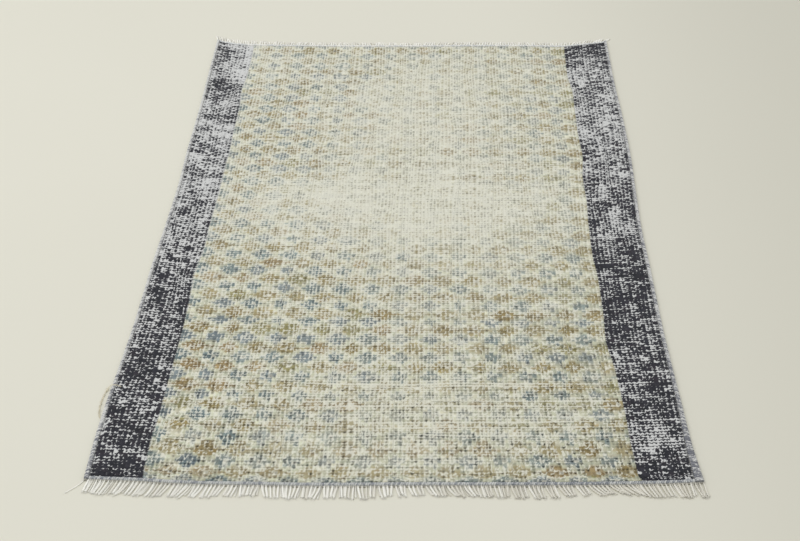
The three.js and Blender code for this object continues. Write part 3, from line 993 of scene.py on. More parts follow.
# %% Height of each point of the pile
GROUND_TOP = 1.9
CREST = 4.55
TUFT_PROFILE = (-1.4, -0.15, 0.15, -0.15)  # above that: gap, flank, crest, flank
WEFT_PROFILE = (-0.75, -0.75, -0.7, -0.75)
WORN_DOWN, WEFT_WORN_DOWN = 0.9, 0.4  # of a bald tuft in millimetres, and of a weft as a share of that
UNEVEN, WEFT_UNEVEN = 0.16, 0.5
TUFT_LEAN, UPRIGHT_BY_WEAR = 0.7, 0.5  # towards the near end in millimetres, and less where it is worn
RIM_DROP = 0.5  # the rim is rounded over at the bound edges
LEAST_HEIGHT, MOST_HEIGHT = GROUND_TOP + 0.6, CLOTH_THICKNESS + 0.25


def carried_to_points(values):
    """Knot values carried to the fine points. A weft point takes the mean of the rows on both sides."""
    fine = values[knot_of_row][:, knot_of_column]
    below = values[np.maximum(knot_of_row - 1, 0)][:, knot_of_column]
    mask = is_weft if values.ndim == 2 else is_weft[..., None]
    return np.where(mask, (fine + below) / 2, fine)


def by_kind(tuft, weft):
    """Four values across a knot, for its tuft and for its weft, carried to all the fine points."""
    return np.where(is_weft, np.array(weft)[kind], np.array(tuft)[kind])


fine_bare = carried_to_points(bare)
height = CREST + by_kind(TUFT_PROFILE, WEFT_PROFILE)
height = height - WORN_DOWN * fine_bare * np.where(is_weft, WEFT_WORN_DOWN, 1.0)
height = height + UNEVEN * rng.normal(size=fine_shape) * np.where(is_weft, WEFT_UNEVEN, 1.0)
pile_y = pile_y - inside * ~is_weft * TUFT_LEAN * (1 - UPRIGHT_BY_WEAR * fine_bare)
points_from_side = np.minimum(fine_columns, fine_columns[::-1])[None]
points_from_end = np.minimum(fine_rows, fine_rows[::-1])[:, None]
height = height - RIM_DROP * ramp(np.minimum(points_from_side, 2 * points_from_end), 2, 0)
height = np.clip(height, LEAST_HEIGHT, MOST_HEIGHT)
print("pile height, mm:", height.min().round(2), "to", height.max().round(2))

# %% [markdown]
# Cotton between the knots
#
# Warps and wefts are undyed cotton. Between full tufts they hardly show. As the tufts wear down they come
# through: first where a weft crosses a gap, then along the wefts, in the gaps and last on the crests. The
# yarns of the weave needn't be modelled for that. Every point of the pile gets a share of cotton, which
# follows from its place in the knot, from the wear there, and from the luck of its weft and its knot.

# %% Cotton at each point of the pile
BAND_TUFT, BAND_WEFT = (0.1, -0.14, -0.26, -0.14), (0.54, 0.34, 0.12, 0.34)
FIELD_TUFT, FIELD_WEFT = (0.17, -0.1, -0.25, -0.1), (0.56, 0.3, 0.06, 0.3)
BAND_EVEN, FIELD_EVEN = 0.11, 0.09  # the share that all points of a knot draw near to where it is worn evenly
FAR_EVENNESS = 0.3  # how much less the bands' knots stand out in the far half
GAIN_WITH_WEAR = 0.85
OPEN_BY_TURNS = 0.16  # a weft goes over one warp and under the next, so it shows at every second gap
WEFT_LUCK, WEFT_STRETCH = 0.2, 2.4  # a weft lies open for some knots and is covered for others
BALD_KNOTS = 0.05
BARE_RIM, RIM_POINTS = 0.15, 8  # the first knots beside the left cord are rubbed barer
LINE_REACH, LINE_END = 0.36, 2.0  # rows and columns over which an open weft ends
GRAIN_ROWS, GRAIN, NEAR_GRAIN, GAP_GRAIN = (70, 20), (0.08, 0.12), 0.12, 0.14
LEAST_COTTON, MOST_COTTON = -0.2, 1.2
# How strong a thing is in the pattern and in the bands.
TURNS_SHARE, WEFT_LUCK_SHARE, BALD_DEPTH = (0.9, 1.0), (0.7, 1.0), (0.25, 0.4)
KNOT_LUCK, STREAK_DEPTH, STRETCH_DEPTH = (0.07, 0.13), (0.05, 0.04), (0.08, 0.02)

field_contrast = np.clip(0.62 + 2.5 * (fine_bare - 0.36), 0.6, 1.0)  # little-worn parts are more even
field_cotton = FIELD_EVEN + (by_kind(FIELD_TUFT, FIELD_WEFT) - FIELD_EVEN) * field_contrast
band_contrast = 1 - FAR_EVENNESS * softer[knot_of_row][:, knot_of_column]
band_cotton = BAND_EVEN + (by_kind(BAND_TUFT, BAND_WEFT) - BAND_EVEN) * band_contrast
cotton = np.where(fine_field, field_cotton, band_cotton) + fine_bare * GAIN_WITH_WEAR
by_turns = 1.0 - 2.0 * ((knot_of_column[None] + fine_rows[:, None] // ALONG_KNOT) % 2)
cotton = cotton + OPEN_BY_TURNS * by_turns * is_weft * np.where(fine_field, *TURNS_SHARE)
weft_luck = drifting(rng, (ROWS + 1, COLUMNS), (EACH, WEFT_STRETCH)) * WEFT_LUCK
weft_luck = weft_luck * np.where(in_field[0], *WEFT_LUCK_SHARE)
cotton = cotton + weft_luck[fine_rows // ALONG_KNOT][:, knot_of_column] * is_weft
bald = (rng.random(thread.shape) < BALD_KNOTS * (0.3 + 2.0 * bare)) * np.where(in_field, *BALD_DEPTH)
knot_luck = np.where(in_field, *KNOT_LUCK) * (1 - 0.4 * softer) * rng.normal(size=thread.shape)
knot_luck += np.where(in_field, *STREAK_DEPTH) * streaks + np.where(in_field, *STRETCH_DEPTH) * stretches
cotton = cotton + carried_to_points(knot_luck + bald) + BARE_RIM * ramp(fine_columns, RIM_POINTS, 0)
near_field = fine_field * ramp(row_here, *GRAIN_ROWS)  # towards the front the pattern has a finer grain
grain = np.where(fine_field, *GRAIN) + NEAR_GRAIN * near_field
grain = grain + GAP_GRAIN * (fine_field & (kind == 0) & ~is_weft)
cotton = cotton + grain * rng.normal(size=fine_shape)
for entry in entries(OPEN_WEFTS):
    line = on_row(entry, column_here, row_here, LINE_REACH, LINE_END)
    cotton = cotton + entry["open"] * line * (0.8 + 0.4 * rng.random(fine_shape))
cotton = np.clip(cotton, LEAST_COTTON, MOST_COTTON)
for part, columns in (("bands", ~fine_field), ("field", fine_field)):
    print(f"mean cotton of the {part}:", cotton[:, columns].mean().round(2))

# %% Dye and darkness at each point of the pile
# Worn tufts are darkened, most on their crests and some more than others: partly painted shade among their
# fibres, partly the felt and dust of their cut ends.
TUFT_SHADE_AND_FELT, WEFT_SHADE_AND_FELT = (0.2, 0.6, 1.0, 0.6), (0.1, 0.2, 0.4, 0.2)
SHADE_AND_FELT_SPREAD, STRETCH_SHADE_AND_FELT, MOST_SHADE_AND_FELT = 0.75, 0.35, 2.8
FIELD_SHADE_AND_FELT, BAND_SHADE_AND_FELT, NEAR_SHADE_AND_FELT = 1.0, 0.15, 0.4
LESS_WHERE_BARE = 0.35

knot_shade_and_felt = rng.normal(1.0, SHADE_AND_FELT_SPREAD, thread.shape) - STRETCH_SHADE_AND_FELT * stretches
knot_shade_and_felt = carried_to_points(np.clip(knot_shade_and_felt, 0, MOST_SHADE_AND_FELT))
shade_and_felt_share = np.where(fine_field, FIELD_SHADE_AND_FELT, BAND_SHADE_AND_FELT) + NEAR_SHADE_AND_FELT * near_field
# Painted shade among the tufts' fibres, together with their felt and dust, for each point of the pile.
shade_and_felt = by_kind(TUFT_SHADE_AND_FELT, WEFT_SHADE_AND_FELT) * knot_shade_and_felt * shade_and_felt_share * (1 - LESS_WHERE_BARE * fine_bare)
fine_colour = carried_to_points(pattern_colour)
print("mean darkness:", shade_and_felt.mean().round(2))

# %% [markdown]
# The pile's finish
#
# Wool dyes are never one flat tone: every fibre takes them a little differently. The finish reads the dye,
# the share of cotton and the painted shade and felt that each point of the mesh carries, breaks them up with
# fine noise, and mixes the dyed wool with the cotton under it. Painted shade and felt darken the tufts, but
# not where cotton shows. In the pattern the cotton has taken a tint of the wool around it, and in the bands
# the dye has greyed it.

# %% Finish of the pile
def pile_finish(name, cotton_deep, cotton_full, tint):
    pile = Finish(name, Roughness=0.95, Specular_IOR_Level=0.15, Sheen_Weight=0.08, Sheen_Roughness=0.6)
    fibre = pile.noise(pile.places(1.0, 0.55, 1.0), 900, detail=2.0, roughness=0.6)
    tuft = pile.noise(pile.places(), 330, detail=1.0)
    cotton_here = (pile.attribute("cotton") + (tuft - 0.5) * 0.4 + (fibre - 0.5) * 0.7).rising(0.42, 0.74)
    wool = pile.mix((fibre - 0.3) * 0.9, pile.attribute("dye", output=0), (0.9, 0.88, 0.8, 1), "SOFT_LIGHT")
    bare_cotton = pile.mix(fibre, rgba(*cotton_deep), rgba(*cotton_full))
    mixed = pile.mix(cotton_here, wool, pile.mix(tint, bare_cotton, wool))
    # The tufts' painted shade and felt darken the wool, less where cotton shows.
    shade = 1 - pile.attribute("shade_and_felt") * (1 - cotton_here * 0.7) * 0.36
    grey = pile.node("CombineColor", None, {"Red": shade, "Green": shade, "Blue": shade})
    pile.feed("Base Color", pile.mix(1.0, mixed, grey, "MULTIPLY"))
    pile.raise_surface(fibre + tuft * 0.6, 0.0006, 0.6)
    return pile


field_wool = pile_finish("field_wool", (214, 213, 197), (245, 245, 233), 0.26)
band_wool = pile_finish("band_wool", (186, 187, 187), (228, 229, 226), 0.0)

# %% [markdown]
# Cutting the pile into parts
#
# Half a million triangles are too heavy in one piece, so the pile is cut lengthwise into the two bands and
# four parts of the pattern. Each part is closed underneath, so that it is a solid of its own. A part is much
# longer than it is wide, and a plain texture map would squeeze its length, so its map is laid out in three
# lengths side by side.

# %% A texture map for the long parts
MAP_FOLDS = 3  # the long strips are folded in three on their texture map, so that its pixels stay square
MAP_TOP = 0.97  # the share of the map's height that shows the top
MAP_GUTTER = 0.004


def fold_on_map(piece, along_share, across_share, top_faces):
    """A texture map that lays a long strip's top side by side in three lengths, the rest in a thin band."""
    mesh = piece.data
    corner_points = np.empty(len(mesh.loops), np.int32)
    mesh.loops.foreach_get("vertex_index", corner_points)
    totals = np.empty(len(mesh.polygons), np.int32)
    mesh.polygons.foreach_get("loop_total", totals)
    face_of_corner = np.repeat(np.arange(len(totals)), totals)
    along, across = along_share[corner_points], across_share[corner_points]
    starts = np.concatenate([[0], np.cumsum(totals)[:-1]])
    middle = np.add.reduceat(along, starts) / totals
    fold = np.minimum((middle * MAP_FOLDS).astype(int), MAP_FOLDS - 1)[face_of_corner]
    u = (fold + MAP_GUTTER + (1 - 2 * MAP_GUTTER) * across) / MAP_FOLDS
    v = MAP_GUTTER + (along * MAP_FOLDS - fold) * (MAP_TOP - 2 * MAP_GUTTER)
    rest = face_of_corner >= top_faces
    u = np.where(rest, MAP_GUTTER + along * (1 - 2 * MAP_GUTTER), u)
    v = np.where(rest, MAP_TOP + MAP_GUTTER + across * (1 - MAP_TOP - 2 * MAP_GUTTER), v)
    layer = mesh.uv_layers.new(name="OFBake")
    layer.data.foreach_set("uv", np.column_stack([u, v]).astype(np.float32).ravel())


# %% A grid that is closed underneath or above
def closed_grid(x, y, z, rim_height, facing_down=False):
    """A grid of quads, a wall from its rim to the given height and a fan of triangles that closes it there.

    Gives the points, the three groups of faces and which points of the grid make its rim."""
    rows, width = x.shape
    face = np.stack([x, y, z], -1).reshape(-1, 3)
    index = np.arange(rows * width).reshape(rows, width)
    quads = np.stack([index[:-1, :-1], index[:-1, 1:], index[1:, 1:], index[1:, :-1]], -1).reshape(-1, 4)
    rim = np.concatenate([index[0, :-1], index[:-1, -1], index[-1, :0:-1], index[:0:-1, 0]])
    foot = face[rim]
    foot[:, 2] = rim_height
    foot_index = len(face) + np.arange(len(rim))
    after = np.roll(foot_index, -1)
    wall = np.stack([rim, foot_index, after, np.roll(rim, -1)], -1)
    fan = np.stack([foot_index, np.full(len(rim), len(face) + len(rim)), after], -1)
    groups = [quads, wall, fan]
    if facing_down:
        groups = [np.column_stack([group[:, :1], group[:, :0:-1]]) for group in groups]
    return np.vstack([face, foot, foot.mean(0)]), groups, rim


# %% The parts of the pile
FIELD_PARTS = 4
FOOT_DEPTH = 0.3  # how deep the pile sits in the ground weave


def pile_part(name, first, last, wool):
    """The pile from one knot column to another, closed underneath where it sits in the ground weave."""
    columns = slice(first * ACROSS_KNOT, last * ACROSS_KNOT + 1)
    x, y, z = pile_x[:, columns], pile_y[:, columns], height[:, columns]
    points, groups, rim = closed_grid(x, y, z, GROUND_TOP - FOOT_DEPTH)
    part = make_piece(name, points, groups, wool)
    rows, width = x.shape
    below = np.append(rim, rim[0])  # the foot and its middle take their values from the rim
    # The dye, the cotton and the painted shade and felt go with the points of the part.
    for kept, values in (("dye", fine_colour), ("cotton", cotton), ("shade_and_felt", shade_and_felt)):
        flat = values[:, columns].reshape(rows * width, *values.shape[2:])
        store(part, kept, np.concatenate([flat, flat[below]]))
    row_share = np.repeat(np.arange(rows) / (rows - 1), width)
    column_share = np.tile(np.arange(width) / (width - 1), rows)
    along_share = np.concatenate([row_share, row_share[rim], [0.5]])
    across_share = np.concatenate([column_share, column_share[rim], [0.5]])
    fold_on_map(part, along_share, across_share, len(groups[0]))
    return part


cuts = [LEFT_BAND + round(FIELD * i / FIELD_PARTS) for i in range(FIELD_PARTS + 1)]
pile_parts = [pile_part("pile_left_band", 0, LEFT_BAND, band_wool)]
for number, first, last in zip(range(1, FIELD_PARTS + 1), cuts, cuts[1:]):
    pile_parts.append(pile_part(f"pile_field_{number}", first, last, field_wool))
pile_parts.append(pile_part("pile_right_band", LEFT_BAND + FIELD, COLUMNS, band_wool))

# %% [markdown]
# The ground weave
#
# Under the pile lies the cotton foundation with the backs of the knots, so the pattern shows from below
# too, flatter and crisper than on top. It is the sheet that carries the pile. Each knot has one face of
# its own on the underside, and the small ribs of the knot backs are fine enough for a bump in the finish.

# %% The ground weave
CREAM = linear(216, 213, 194)
BACK_COTTON, WALL_COTTON = 0.3, 0.6


def ground_finish():
    ground = Finish("ground_weave", Roughness=0.95, Sheen_Weight=0.1)
    fibre = ground.noise(ground.places(1.0, 0.6, 1.0), 1100, detail=2.0)
    rib_place = ground.places(2 * math.pi / (knot_width * MM) * 2, 0.0, 0.0)
    rib = ground.node("SeparateXYZ", None, {0: rib_place})
    wave = ground.math("SINE", rib, 0.0) * 0.5 + 0.5
    cotton_here = (fibre + ground.attribute("cotton") * 0.3 - wave * 0.22).rising(0.52, 0.75)
    mixed = ground.mix(cotton_here, ground.attribute("dye", output=0), rgba(222, 218, 202))
    ground.feed("Base Color", mixed)
    ground.raise_surface(wave + fibre * 0.4, 0.0005, 0.7)
    return ground


back_x, back_y = knot_place(*np.meshgrid(np.arange(COLUMNS + 1.0), np.arange(ROWS + 1.0)))
sheet_points, sheet_faces, _ = closed_grid(back_x, back_y, 0 * back_x, GROUND_TOP, facing_down=True)
sheet_points[-1, :2] = 0  # the fan that closes it meets in the middle of the rug
ground_weave = make_piece(
    "ground_weave", sheet_points, sheet_faces, ground_finish(), ["rug_body"]
)
backs = slice(0, len(sheet_faces[0]))
sheet_dye = np.full((sum(len(group) for group in sheet_faces), 3), CREAM)
sheet_dye[backs] = (dye * lightness).reshape(-1, 3)
sheet_cotton = np.full(len(sheet_dye), WALL_COTTON)
sheet_cotton[backs] = BACK_COTTON
store(ground_weave, "dye", sheet_dye, "FACE")
store(ground_weave, "cotton", sheet_cotton, "FACE")

# %% [markdown]
# Side cords
#
# Along each side a few warps are bundled and wrapped tightly with lavender-grey wool, so the edge is a
# ribbed cord. One tube makes it: its rings lie askew, as the wraps do, and swell and narrow once for every
# turn of the yarn. Its height and width follow the solid that it stands for.

# %% Wrapped edges
# The half-round section, flat underneath and full on top: depth across it and height as shares of its size.
SECTION = table(
    "depth height",
    (0.08, 0.0),
    (0.5, 0.0),
    (0.92, 0.0),
    (0.99, 0.22),
    (1.0, 0.5),
    (0.95, 0.76),
    (0.82, 0.92),
    (0.64, 0.99),
    (0.36, 0.99),
    (0.18, 0.92),
    (0.05, 0.76),
    (0.0, 0.5),
    (0.01, 0.22),
)
SECTION_SIDES = len(SECTION["depth"])
RIB_PROFILE = np.array([0.0, 0.8, 1.0, 0.8])  # from one groove to the next over one wrap
RINGS_PER_WRAP = len(RIB_PROFILE)
GROOVE, GROOVE_ON_TOP = 0.085, 1.1  # the depth of a groove as a share of the cord, a little more on top
WRAP_FULLNESS = 0.07  # how much fuller one wrap is than the next
LEAST_FULL, MOST_FULL = 0.92, 1.04
WRAP_ASKEW = 0.14  # how far a wrap strays along the cord, as a share of the pitch
TAPER_RUN = 12  # millimetres at each end over which the wraps come to lie square
TONE_STOPS = (0, 0.1, 0.4, 1)
WRAP_TONE, TONE_WANDER, WANDER_RINGS, FIBRE_TONE = 0.4, 0.12, 40, 0.45


def wrapped_edge(name, place, run_length, height, pitch, skew, finish, replaced, seed, flip, tones,
                 groove_shade=0.3, flank=0.4):
    """A cord wrapped with yarn. place gives x and y for a share along it and a depth across it.

    tones are the wool's at the TONE_STOPS along it, groove_shade is how light the grooves stay and flank is
    how much paler the outer flank is than the inner one."""
    rng = np.random.default_rng(seed)
    wraps = round(run_length / pitch)
    rings = wraps * RINGS_PER_WRAP + 1
    ring = np.arange(rings)
    wrap = np.minimum(ring // RINGS_PER_WRAP, wraps - 1)
    rib = RIB_PROFILE[ring % RINGS_PER_WRAP][:, None]
    fullness = 1 + WRAP_FULLNESS * rng.normal(size=wraps)[wrap][:, None]
    share = (ring / (rings - 1))[:, None]
    taper = ramp(np.minimum(share, 1 - share) * run_length, 0, TAPER_RUN)
    askew = WRAP_ASKEW * pitch * rng.normal(size=wraps)[wrap][:, None]
    lean = skew * (SECTION["depth"][None] - 0.5)
    share_here = np.clip(share + (lean + askew) * taper / run_length, 0, 1)
    groove = (1 - rib) * GROOVE * fullness
    depth_share = 0.5 + (SECTION["depth"][None] - 0.5) * (1 - groove)
    x, y = place(share_here, depth_share)
    z = height * SECTION["height"][None] * (1 - GROOVE_ON_TOP * groove)
    z = z * np.clip(fullness, LEAST_FULL, MOST_FULL)
    points = np.stack([x, y, z], -1)
    tone = np.interp(share[:, 0], TONE_STOPS, tones)
    tone = tone + WRAP_TONE * rng.normal(size=wraps)[wrap] + TONE_WANDER * wander(rng, rings, WANDER_RINGS)
    tone = tone[:, None] + flank * (0.5 - SECTION["depth"][None])
    tone = tone + FIBRE_TONE * rng.normal(size=(rings, SECTION_SIDES))
    if flip:
        points, tone = points[:, ::-1], tone[:, ::-1]
    faces = tube_faces(1, rings, SECTION_SIDES)
    piece = make_piece(name, points.reshape(-1, 3), faces, finish, replaced)
    shade = np.repeat(groove_shade + (1 - groove_shade) * rib[:, 0], SECTION_SIDES)
    paint(piece, np.clip(tone, -0.3, 1.3).ravel(), shade)
    return piece


# %% Side cords
side_wool = wool_finish("side_wool", (232, 232, 227), (212, 212, 208), (118, 120, 127))
SIDE_PITCH = 4.2
SIDE_SKEW = 5.0  # how many millimetres a wrap moves along the cord from one flank to the other


def side_place(side):
    """Places on a side cord by their share along it and their depth in from its outer face."""
    def place(share, depth):
        inner = inner_face(side, share)
        return between(side * HALF_WIDTH + depth * (inner - side * HALF_WIDTH), share)
    return place


for side, label, seed, tones, groove_shade, flank in (
    (-1, "left", 31, (0.15, 0.8, 1.1, 1.15), 0.55, 0.6),
    (1, "right", 37, (0.4, 0.45, 0.65, 0.7), 0.3, 0.4),
):
    wrapped_edge(
        f"side_cord_{label}", side_place(side), 2 * HALF_LENGTH, SIDE_CORD_HEIGHT, SIDE_PITCH, SIDE_SKEW,
        side_wool, [f"side_binding_{label}"], seed, flip=side > 0, tones=tones,
        groove_shade=groove_shade, flank=flank,
    )

# %% [markdown]
# Overlocked ends
#
# The two ends are closed with close, even stitches, side by side and leaning the same way, of grey yarn at
# the near end and of paler yarn at the far end. They are built as the side cords are, with a finer pitch.

# %% Overlocked edges at both ends
near_wool = wool_finish("near_end_wool", (226, 227, 222), (196, 198, 196), (140, 144, 150))
far_wool = wool_finish("far_end_wool", (248, 246, 238), (240, 239, 231), (204, 207, 208))
END_PITCH = 3.6
END_SKEW = 3.4


def end_place(end):
    """Places on an overlocked edge by their share across the rug and their depth in from the end."""
    share_along = 0 if end == "near" else 1
    start, stop = cloth_side(-1, share_along), cloth_side(1, share_along)

    def place(share, depth):
        return in_from(end, start + share * (stop - start), depth * END_EDGE_WIDTH)
    return place


for end, end_wool, seed, groove_shade in (("near", near_wool, 41, 0.3), ("far", far_wool, 43, 0.7)):
    wrapped_edge(
        f"overlock_{end}", end_place(end), 2 * HALF_WIDTH, END_EDGE_HEIGHT, END_PITCH, END_SKEW,
        end_wool, [f"end_binding_{end}"], seed, flip=end == "far",
        tones=(0.6, 0.65, 0.65, 0.4), groove_shade=groove_shade,
    )

# %% [markdown]
# Fringe
#
# The warps run out of both ends as short strands of cotton, which lie flat on the floor. Each one is two
# plies that twist round each other, with a frayed tip. The strands start at even places, lean as the tables
# say, and neighbours draw together in small clumps. The places are drawn in the same order and from
# the same small random source as those of the solids, so every strand lies on its solid.

# %% Where each strand lies
STRANDS = 148
STRAND_WIDTH = 3.6
STRAND_PITCH_AT_TIPS = 4.5
STRAND_BOW = 0.12
REACH_SPREAD = 2.5
LEAN_SPREAD = 1.2
SLIMMEST, FULLEST = 0.86, 1.1
CLUMP_FEWEST, CLUMP_MOST = 3, 5
LEAST_PULL, MOST_PULL = 0.16, 0.42
STRAY_REACH, STRAY_LEAN, STRAY_SLIMNESS = 33.0, -27.0, 0.55
FRINGES = {
    "near": table(
        "across reach lean",
        (-507, 30, -3),
        (-480, 33, -9),
        (-390, 33, -12),
        (-300, 30, -11),
        (-230, 26, -3),
        (-190, 30, 5),
        (-150, 30, -6),
        (-90, 29, 0),
        (-55, 31, 2),
        (20, 24, 5),
        (110, 25, 11),
        (170, 27, 4),
        (225, 30, 8),
        (290, 25, 9),
        (340, 20, 16),
        (375, 23, 19),
        (430, 31, 10),
        (507, 36, 6),
    ),
    "far": table(
        "across reach lean",
        (-507, 27, -9),
        (-440, 24, -4),
        (-300, 19, 3),
        (-100, 18, -4),
        (120, 19, 5),
        (300, 18, -3),
        (440, 20, 6),
        (507, 19, 11),
    ),
}
FRINGE_SEEDS = {"near": 11, "far": 23}


def random_source(seed):
    """A small repeatable random source, from 0 to 1."""
    state = seed
    while True:
        state = (state * 1664525 + 1013904223) % 4294967296
        yield state / 4294967296


def strand_layout(end):
    """Root place across, reach, tip place and slimness of each strand of a fringe."""
    source = random_source(FRINGE_SEEDS[end])
    rows = FRINGES[end]
    half = HALF_WIDTH - STRAND_WIDTH / 2
    across = np.linspace(-half, half, STRANDS)
    draws = np.array([[next(source) for _ in range(3)] for _ in range(STRANDS)])
    reach = read(rows, "across", "reach", across) + REACH_SPREAD * (2 * draws[:, 0] - 1)
    tip = across + read(rows, "across", "lean", across) + LEAN_SPREAD * (2 * draws[:, 1] - 1)
    slimness = SLIMMEST + (FULLEST - SLIMMEST) * draws[:, 2]
    first = 0
    while first < STRANDS:
        size = CLUMP_FEWEST + int((CLUMP_MOST - CLUMP_FEWEST + 1) * next(source))
        clump = slice(first, min(first + size, STRANDS))
        pull = LEAST_PULL + (MOST_PULL - LEAST_PULL) * next(source)
        tip[clump] += pull * (tip[clump].mean() - tip[clump])
        first = clump.stop
    for i in range(1, STRANDS):
        tip[i] = max(tip[i], tip[i - 1] + STRAND_PITCH_AT_TIPS)
    if end == "near":
        reach[0], tip[0], slimness[0] = STRAY_REACH, across[0] + STRAY_LEAN, STRAY_SLIMNESS
    return across, reach, tip, slimness


# %% [markdown]
# Making the strands
#
# A strand is worked out as a line first. It comes down from the cloth's edge, bows and sways a little, and
# ends at its tip. Two tubes then wind round the line, as in the loose yarn, and come apart towards the tip.
# Thin single plies lie in most of the gaps, fine hairs fray the tips and a low strip holds the roots. The
# soft look comes from these many small parts, as no finish could fray a smooth rod.

# %% Finish of the fringe
def cotton_finish():
    cotton = Finish("fringe_cotton", Roughness=0.9, Sheen_Weight=0.15, Sheen_Roughness=0.5)
    fibre = cotton.noise(cotton.places(1.0, 0.3, 1.0), 1400, detail=2.0, roughness=0.6)
    tone = cotton.attribute("tone")
    base = cotton.mix(tone.rising(-0.3, 1.0), rgba(216, 212, 198), rgba(249, 248, 240))
    base = cotton.mix(fibre.rising(0.45, 0.75) * 0.5, base, rgba(252, 252, 248))
    cotton.feed("Base Color", cotton.mix(1 - cotton.attribute("shade"), base, rgba(128, 125, 112)))
    cotton.raise_surface(fibre, 0.0004, 0.5)
    return cotton


fringe_cotton = cotton_finish()

# %% Strands
STRAND_RINGS = 13
STRAND_SIDES = 6
PLY_RADIUS = 1.12
PLY_SPREAD = 0.78
PLY_FLATNESS = 0.6
STRAND_TWIST = 9.0  # millimetres for one turn
ROOT_DEPTH = 0.6  # how far in from the end the strands begin
ROOT_LIFT = 0.5
SWAY = 0.55
OUTWARD = {"near": -1, "far": 1}

ALONG_STRAND = np.linspace(0, 1, STRAND_RINGS)[None]
ROOT_RISE = ramp(ALONG_STRAND, 0.25, 0) ** 2  # the strands come down from the cloth over their first quarter


def strand_lines(rng, end, across, reach, tip, slimness):
    """Middle lines of a fringe's strands by strand and ring, their plies' radii and turns, their headings."""
    root_x, root_y = in_from(end, across, ROOT_DEPTH)
    run_x = (tip - across)[:, None]
    run_y = (in_from(end, across, 0.0)[1] + OUTWARD[end] * reach - root_y)[:, None]
    bow = STRAND_BOW * 4 * ALONG_STRAND * (1 - ALONG_STRAND)
    waves = ALONG_STRAND * rng.uniform(0.6, 1.3, (STRANDS, 1)) + rng.random((STRANDS, 1))
    sway = SWAY * np.sin(2 * math.pi * waves) * ALONG_STRAND
    x = root_x[:, None] + run_x * (ALONG_STRAND - bow) + sway
    y = root_y[:, None] + run_y * ALONG_STRAND
    belly = 0.85 + 0.3 * np.sin(math.pi * np.clip(ALONG_STRAND * 0.9 + 0.12, 0, 1))
    frayed = 1 + 0.1 * ALONG_STRAND**4
    radius = PLY_RADIUS * np.minimum(slimness, 1.05)[:, None] * belly * frayed
    z = radius * (1 + PLY_FLATNESS * PLY_SPREAD) + ROOT_LIFT * ROOT_RISE
    turns = ALONG_STRAND * np.hypot(run_x, run_y) / STRAND_TWIST + rng.random((STRANDS, 1))
    return np.stack([x, y, z], -1), radius, 2 * math.pi * turns, np.arctan2(run_y, run_x)[:, 0]


# %% Thin plies between the strands
FILL_SHARE = (0.96, 0.55)  # left and right: how many of the gaps between strands hold one more thin ply
FILL_RADIUS = 1.2
FILL_SPREAD = 2.2
FILL_LIFT = 0.9


def fill_lines(rng, end, lines):
    """Middle lines and radii of the thin plies, and which strand each one lies beside."""
    beside = np.flatnonzero(rng.random(STRANDS - 1) < np.linspace(*FILL_SHARE, STRANDS - 1))
    beside = beside[beside > 0]
    one_each = (len(beside), 1)
    lie = rng.uniform(0.35, 0.65, one_each)[..., None]
    found = lines[beside] * lie + lines[beside + 1] * (1 - lie)
    found[:, :, 0] += ALONG_STRAND * rng.normal(size=one_each) * FILL_SPREAD
    found[:, :, 1] -= OUTWARD[end] * ALONG_STRAND * rng.uniform(-1.5, 4, one_each)
    radius = FILL_RADIUS * (1 + 0.3 * ALONG_STRAND**3) * rng.uniform(0.75, 1.1, one_each)
    found[:, :, 2] = radius + 0.05 + FILL_LIFT * ROOT_RISE
    return found, radius, beside


# %% The strip of the roots
ROOT_SECTION = table("depth height", (-0.3, 0.0), (-0.3, 2.9), (-1.4, 2.8), (-2.7, 2.2), (-2.7, 0.0))
ROOT_RIPPLE = 0.86  # how high the strip stands between two strands, as a share


def root_strip(end):
    """Points of the strip in which the roots of a fringe are held, by ring and side."""
    rings = 2 * STRANDS + 1
    place = np.linspace(-HALF_WIDTH + 0.5, HALF_WIDTH - 0.5, rings)[:, None]
    x, y = in_from(end, place, ROOT_SECTION["depth"][None])
    ripple = np.where(np.arange(rings) % 2 == 0, ROOT_RIPPLE, 1.0)[:, None]
    strip = np.stack([x, y, ROOT_SECTION["height"][None] * ripple], -1)
    return strip[:, ::-1] if end == "near" else strip


# %% The fringe of each end
HAIRS = 18  # frayed fibres at the tip of each strand
HAIR_RADIUS, HAIR_CURL, HAIR_TONE = 0.32, 0.9, 0.35
ROOT_SHADE = {"near": (0.5, 0.2), "far": (0.85, 0.7)}  # how light the roots and the strip under them are
RIGHT_DARKER, RIGHT_DARKER_FROM = {"near": 0.55, "far": 0.0}, (20, 170)  # how much darker the cotton is right of the middle
COTTON_TONE, STRAND_TONE_LUCK, FILL_DARKER, STRIP_TONE = 0.62, 0.22, 0.15, 0.35
UNRAVELLING = 0.8


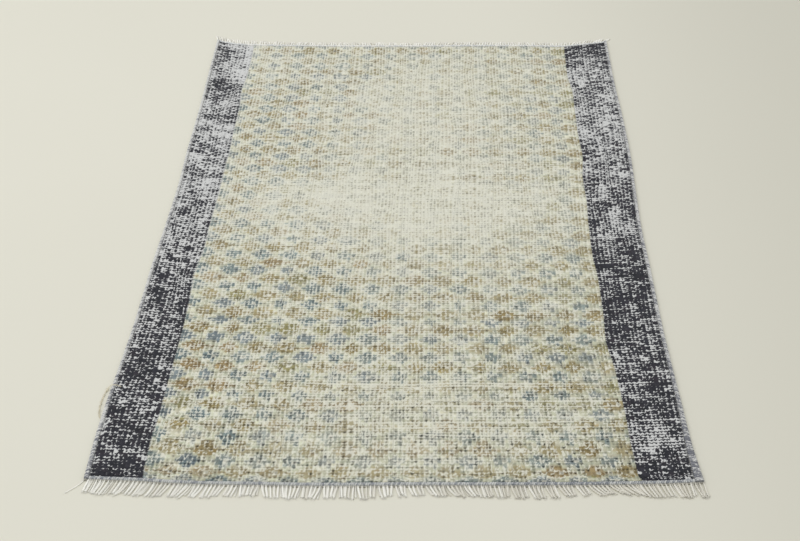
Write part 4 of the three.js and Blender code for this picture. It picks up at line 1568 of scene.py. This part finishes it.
def fringe(end, seed):
    """All strands of one end, their frayed tips and the strip of their roots, as one piece."""
    rng = np.random.default_rng(seed)
    layout = strand_layout(end)
    lines, radius, turns, heading = strand_lines(rng, end, *layout)
    spread = PLY_SPREAD * (1 + UNRAVELLING * ALONG_STRAND[..., None] ** 6)
    plies = plied(lines, radius, turns, STRAND_SIDES, flatten=PLY_FLATNESS, spread=spread)
    thin_lines, thin_radius, beside = fill_lines(rng, end, lines)
    # The two plies of a thin line fall together, so every second one is left out.
    thin = plied(thin_lines, thin_radius, 0 * thin_radius, STRAND_SIDES, flatten=0.0, spread=0.0)[::2]
    tubes = np.concatenate([plies, thin])

    own = np.repeat(np.arange(STRANDS), HAIRS)
    hair_heading = heading[own] + rng.normal(size=len(own))
    hair_reach = rng.uniform(1.4, 5.5, len(own))
    start = lines[own, rng.integers(-3, 0, len(own))] + rng.normal(size=(len(own), 3)) * (1.1, 0.9, 0.4)
    hair = hairs(rng, start, hair_heading, hair_reach, HAIR_RADIUS, HAIR_CURL)
    strip = root_strip(end)

    points, groups = np.zeros((0, 3)), []
    for rings in (tubes, hair, strip[None]):
        groups += tube_faces(*rings.shape[:3], first=len(points))
        points = np.vstack([points, rings.reshape(-1, 3)])
    piece = make_piece(
        f"fringe_strands_{end}", points, groups, fringe_cotton, [f"fringe_{end}"]
    )

    darker_right = ramp(layout[0], *RIGHT_DARKER_FROM) * RIGHT_DARKER[end]
    strand_tone = np.clip(COTTON_TONE - darker_right + STRAND_TONE_LUCK * rng.normal(size=STRANDS), -0.3, 1)
    strand_tone[0] = 1.0
    tube_tone = np.concatenate([np.repeat(strand_tone, 2), strand_tone[beside] - FILL_DARKER])
    tube_points = tubes.size // 3
    ply_tone = np.repeat(tube_tone, tube_points // len(tubes)) + 0.08 * rng.normal(size=tube_points)
    hair_tone = np.repeat(strand_tone[own] + HAIR_TONE, HAIR_RINGS * HAIR_SIDES)
    strip_tone = np.full(strip.size // 3, STRIP_TONE)
    tone = np.clip(np.concatenate([ply_tone, hair_tone, strip_tone]), -0.3, 1)
    own_shade = np.concatenate([np.ones(2 * STRANDS), rng.uniform(0.45, 0.95, len(beside))])[:, None]
    own_shade = own_shade + (1 - own_shade) * ALONG_STRAND**2
    root_shade, strip_shade = ROOT_SHADE[end]
    ring_shade = own_shade * (root_shade + (1 - root_shade) * ramp(ALONG_STRAND, 0, 0.2))
    tube_shade = np.repeat(ring_shade.ravel(), STRAND_SIDES)
    rest_shade = np.concatenate([np.ones(len(hair_tone)), np.full(len(strip_tone), strip_shade)])
    paint(piece, tone, np.concatenate([tube_shade, rest_shade]))
    return piece


fringe_pieces = [fringe("near", 51), fringe("far", 53)]

# %% [markdown]
# Declaring the cloth
#
# The rug is one sheet of cloth that lies on the floor.

# %% The sheet and its flat size
flat_width = (2 * HALF_WIDTH - SIDES["left_cord"].mean() - SIDES["right_cord"].mean()) * MM
